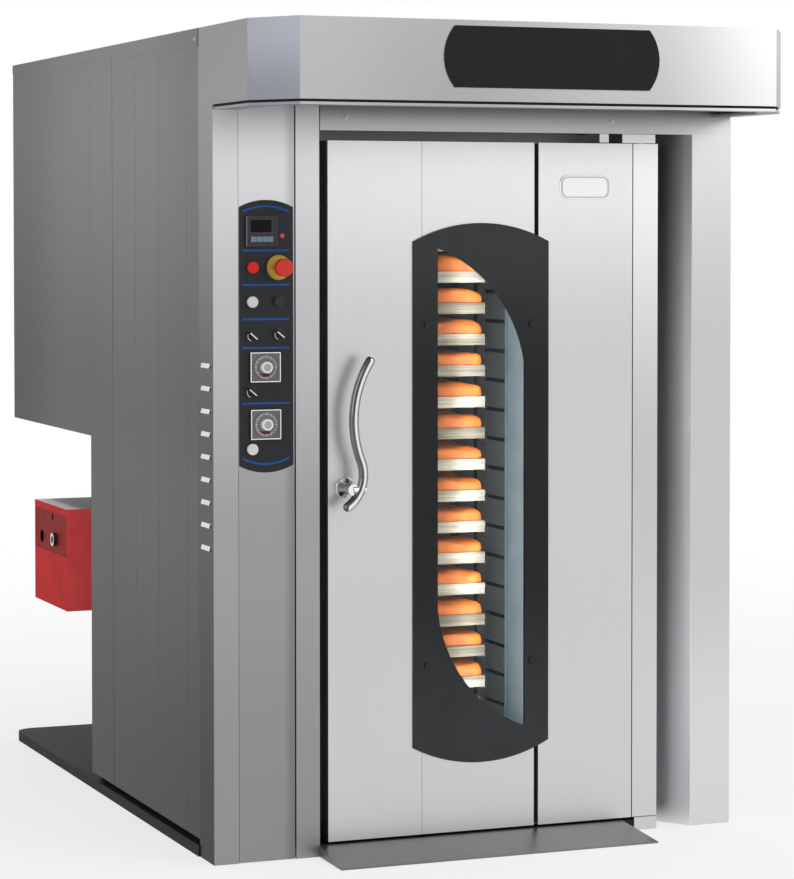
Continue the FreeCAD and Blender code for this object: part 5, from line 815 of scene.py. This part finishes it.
def burner_slot():
    bm = bmesh.new()
    corners = rectangle(*BURNER_SLOT_Y, *BURNER_SLOT_Z)
    skin(bm, [[bm.verts.new(mm(x, y, z)) for y, z in corners] for x in BURNER_SLOT_X])
    piece("burner_slot", bm, BURNER_PORT, "cabinet")


burner_slot()


# -- door badge: bare, raised edge round a satin field
BADGE = (1004.0, 1157.0, 1766.0, 1833.0)
BADGE_R = 22.0
BADGE_Y = (-2.6, 0.0)
RIM_IN = 6.0                # from the badge's edge to the middle of its raised rim
RIM_HALF = 2.0
BADGE_RIM_Y = (-4.0, -2.5)


def badge():
    x0, x1, z0, z1 = BADGE
    bm = bmesh.new()
    outline_solid(bm, rounded(x0, x1, z0, z1, BADGE_R, 8), *BADGE_Y, 1.0)
    piece("door_badge", bm, STILE, "door")
    path = rounded(x0 + RIM_IN, x1 - RIM_IN, z0 + RIM_IN, z1 - RIM_IN, 17.0, 8)
    bm = bmesh.new()
    strip_along(bm, path + path[:1], RIM_HALF, *BADGE_RIM_Y)
    piece("badge_rim", bm, CHROME, "door")


badge()


# -- loaves on the trays
TRAY_COUNT = 18
TRAY_LOW = 108.0
TRAY_PITCH = 89.0
TRAY_H = 31.0
RACK_X = 723.0              # turning centre of the rack
RACK_Y = 630.0
LOAF_ROWS = (-222.0, -74.0, 74.0, 222.0)
LOAF_COLUMNS = (-99.0, 99.0)
LOAF_HALF_L = 98.5
LOAF_HALF_W = 73.0
LOAF_H = 34.0
LOAF_BASE = -0.1            # where the loaf's underside is cut flat, as a share of its height
LOAF_LIFT = 0.3             # above the tray's rim


def loaf_mesh(seed):
    """A blunt-ended loaf with a flat base and a swollen, uneven top."""
    bm = bmesh.new()
    bmesh.ops.create_icosphere(bm, subdivisions=4, radius=1.0)
    for v in bm.verts:
        p = v.co.copy()
        swell = noise.noise(p * 1.6 + Vector((seed * 7.3, 1.0, 2.0))) * 0.34
        swell += noise.noise(p * 6.0 + Vector((0.0, seed * 3.1, 5.0))) * 0.04
        plan = (abs(p.x) ** 12 + abs(p.y) ** 12) ** (1.0 / 12.0)
        p /= (plan ** 4 + p.z ** 4) ** 0.25
        p.z = max(LOAF_BASE, p.z * (1.0 + swell))
        v.co = p
    return bm


def add_loaf(bm, seed, x, y, top):
    """Adds one loaf to a tray's mesh, its base just above the tray."""
    high = LOAF_H * (1.0 + 0.10 * sin(seed * 2.3))
    size = Matrix.Diagonal((LOAF_HALF_L / 1000.0, LOAF_HALF_W / 1000.0, high / 1000.0, 1.0))
    place = Matrix.Translation(mm(x, y, top - LOAF_BASE * high + LOAF_LIFT))
    one = loaf_mesh(seed)
    one.transform(place @ size)
    temp = bpy.data.meshes.new("temp")
    one.to_mesh(temp)
    one.free()
    bm.from_mesh(temp)
    bpy.data.meshes.remove(temp)


def loaves():
    for tray in range(TRAY_COUNT):
        top = TRAY_LOW + TRAY_PITCH * tray + TRAY_H
        bm = bmesh.new()
        for row, y in enumerate(LOAF_ROWS):
            for column, x in enumerate(LOAF_COLUMNS):
                add_loaf(bm, tray * 8 + row * 2 + column, RACK_X + x, RACK_Y + y, top)
        piece("loaves_%02d" % (tray + 1), bm, CRUST, "turntable", smooth=True)


loaves()


# -- one screw on each side of the roof skirt
SKIRT_SIDES = ((-1.5, -1.0), (1536.5, 1.0))     # the skirt's face, and which way it looks
SKIRT_SCREW_Y = 150.0
SKIRT_SCREW_Z = 2192.0
SKIRT_SCREW = ((0.0, 5.0), (1.2, 4.6), (2.0, 3.0))      # depth and radius of its rings


def fascia_screws():
    bm = bmesh.new()
    for face, side in SKIRT_SIDES:
        skin(bm, [[bm.verts.new(mm(face + side * depth, y, z))
                   for y, z in circle(SKIRT_SCREW_Y, SKIRT_SCREW_Z, r, 20)] for depth, r in SKIRT_SCREW])
    piece("fascia_screws", bm, SCREW, "cabinet")


fascia_screws()


# ------------------------------------------------------------------ floor, world and lights
STUDIO_LEFT = 0.48          # how bright the studio is to the left, against 1 behind and to the right
STUDIO_TURN = (-0.5, 0.2)   # sideways part of the direction, where the left ends and the right begins
FLOOR_HALF = 40.0           # metres from here on
FLOOR_DROP = 0.0005
SHADOW_REACH = (1.4, 7.0)   # from the oven's middle: where the shadow starts to fade, and is gone
NEAR_WHITE = 0.68           # the floor's share of plain white near the oven


def seen_rays(tree):
    """1 for rays that show the background: to the camera, mirrored or through glass."""
    path = tree.nodes.new("ShaderNodeLightPath")
    total = path.outputs["Is Camera Ray"]
    for name in ("Is Glossy Ray", "Is Transmission Ray"):
        more = tree.nodes.new("ShaderNodeMath")
        more.operation = "MAXIMUM"
        tree.links.new(total, more.inputs[0])
        tree.links.new(path.outputs[name], more.inputs[1])
        total = more.outputs["Value"]
    return total


def floor_material():
    """Pale matt floor that keeps the shadow near the oven and turns white further out."""
    g = Graph("floor_pale")
    tone = g.noise((0.6, 0.6, 0.6), 3.0, 0.5)
    f = g.spread(tone, 0.0, 1.0)
    g.colour(g.mix(f, (0.82, 0.82, 0.82), (0.85, 0.85, 0.85)))
    g.value("Roughness", 0.9)
    g.value("Specular IOR Level", 0.0)
    reach = g.add("ShaderNodeVectorMath", operation="LENGTH")
    g.link(g.coord, "Object", reach, "Vector")
    share = g.add("ShaderNodeMapRange", interpolation_type="SMOOTHSTEP")
    share.inputs["From Min"].default_value = SHADOW_REACH[0]
    share.inputs["From Max"].default_value = SHADOW_REACH[1]
    share.inputs["To Min"].default_value = NEAR_WHITE
    share.inputs["To Max"].default_value = 1.0
    g.link(reach, "Value", share, "Value")
    seen = g.add("ShaderNodeMath", operation="MULTIPLY")
    g.link(share, "Result", seen, 0)
    g.tree.links.new(seen_rays(g.tree), seen.inputs[1])
    white = g.add("ShaderNodeEmission")
    both = g.add("ShaderNodeMixShader")
    g.link(seen, "Value", both, "Fac")
    g.link(g.bsdf, "BSDF", both, 1)
    g.link(white, "Emission", both, 2)
    g.link(both, "Shader", g.out, "Surface")
    return g.mat


def floor():
    bm = bmesh.new()
    bmesh.ops.create_grid(bm, x_segments=1, y_segments=1, size=FLOOR_HALF)
    mesh = bpy.data.meshes.new("floor")
    bm.to_mesh(mesh)
    bm.free()
    obj = bpy.data.objects.new("floor", mesh)
    obj.location = (0.0, 0.0, -FLOOR_DROP)
    bpy.context.scene.collection.objects.link(obj)
    mesh.materials.append(floor_material())


floor()


def world():
    """A plain pale studio: white behind and to the right, a light grey to the left."""
    w = bpy.data.worlds.new("studio")
    bpy.context.scene.world = w
    w.use_nodes = True
    tree = w.node_tree
    tree.nodes.clear()
    out = tree.nodes.new("ShaderNodeOutputWorld")
    coord = tree.nodes.new("ShaderNodeTexCoord")
    split = tree.nodes.new("ShaderNodeSeparateXYZ")
    tree.links.new(coord.outputs["Generated"], split.inputs["Vector"])
    side = tree.nodes.new("ShaderNodeMapRange")
    side.interpolation_type = "SMOOTHSTEP"
    side.inputs["From Min"].default_value = STUDIO_TURN[0]
    side.inputs["From Max"].default_value = STUDIO_TURN[1]
    side.inputs["To Min"].default_value = STUDIO_LEFT
    side.inputs["To Max"].default_value = 1.0
    tree.links.new(split.outputs["X"], side.inputs["Value"])
    background = tree.nodes.new("ShaderNodeBackground")
    tree.links.new(side.outputs["Result"], background.inputs["Strength"])
    tree.links.new(background.outputs["Background"], out.inputs["Surface"])
    background.inputs["Color"].default_value = (1.0, 1.0, 1.0, 1.0)


world()


def area_light(name, at, towards, size, power, colour=(1.0, 1.0, 1.0)):
    """A soft rectangular lamp; places and sizes in metres, power in watts."""
    data = bpy.data.lights.new(name, "AREA")
    data.shape = "RECTANGLE"
    data.size, data.size_y = size
    data.energy = power
    data.color = colour
    obj = bpy.data.objects.new(name, data)
    bpy.context.scene.collection.objects.link(obj)
    obj.location = at
    obj.rotation_euler = (Vector(towards) - Vector(at)).to_track_quat("-Z", "Y").to_euler()


OVEN_MIDDLE = (0.0, 0.0, 1.0)
CHAMBER_LAMP = (0.05, 1.6)  # upright strips behind the door, by the window's right edge

area_light("key", (3.2, -5.5, 4.2), OVEN_MIDDLE, (3.5, 3.0), 60.0)
area_light("fill", (-4.5, -3.0, 2.6), OVEN_MIDDLE, (3.0, 3.0), 55.0)
area_light("top", (0.0, 0.0, 6.0), (0.0, 0.0, 0.0), (4.0, 4.0), 30.0)
area_light("chamber", mm(905.0, 235.0, 1000.0), mm(720.0, 420.0, 1000.0),
           CHAMBER_LAMP, 2.0, (1.0, 0.94, 0.86))
area_light("chamber_right", mm(900.0, 240.0, 1000.0), mm(1150.0, 560.0, 1000.0),
           CHAMBER_LAMP, 2.6, (0.9, 0.96, 1.0))

bpy.context.scene.view_settings.view_transform = "Standard"
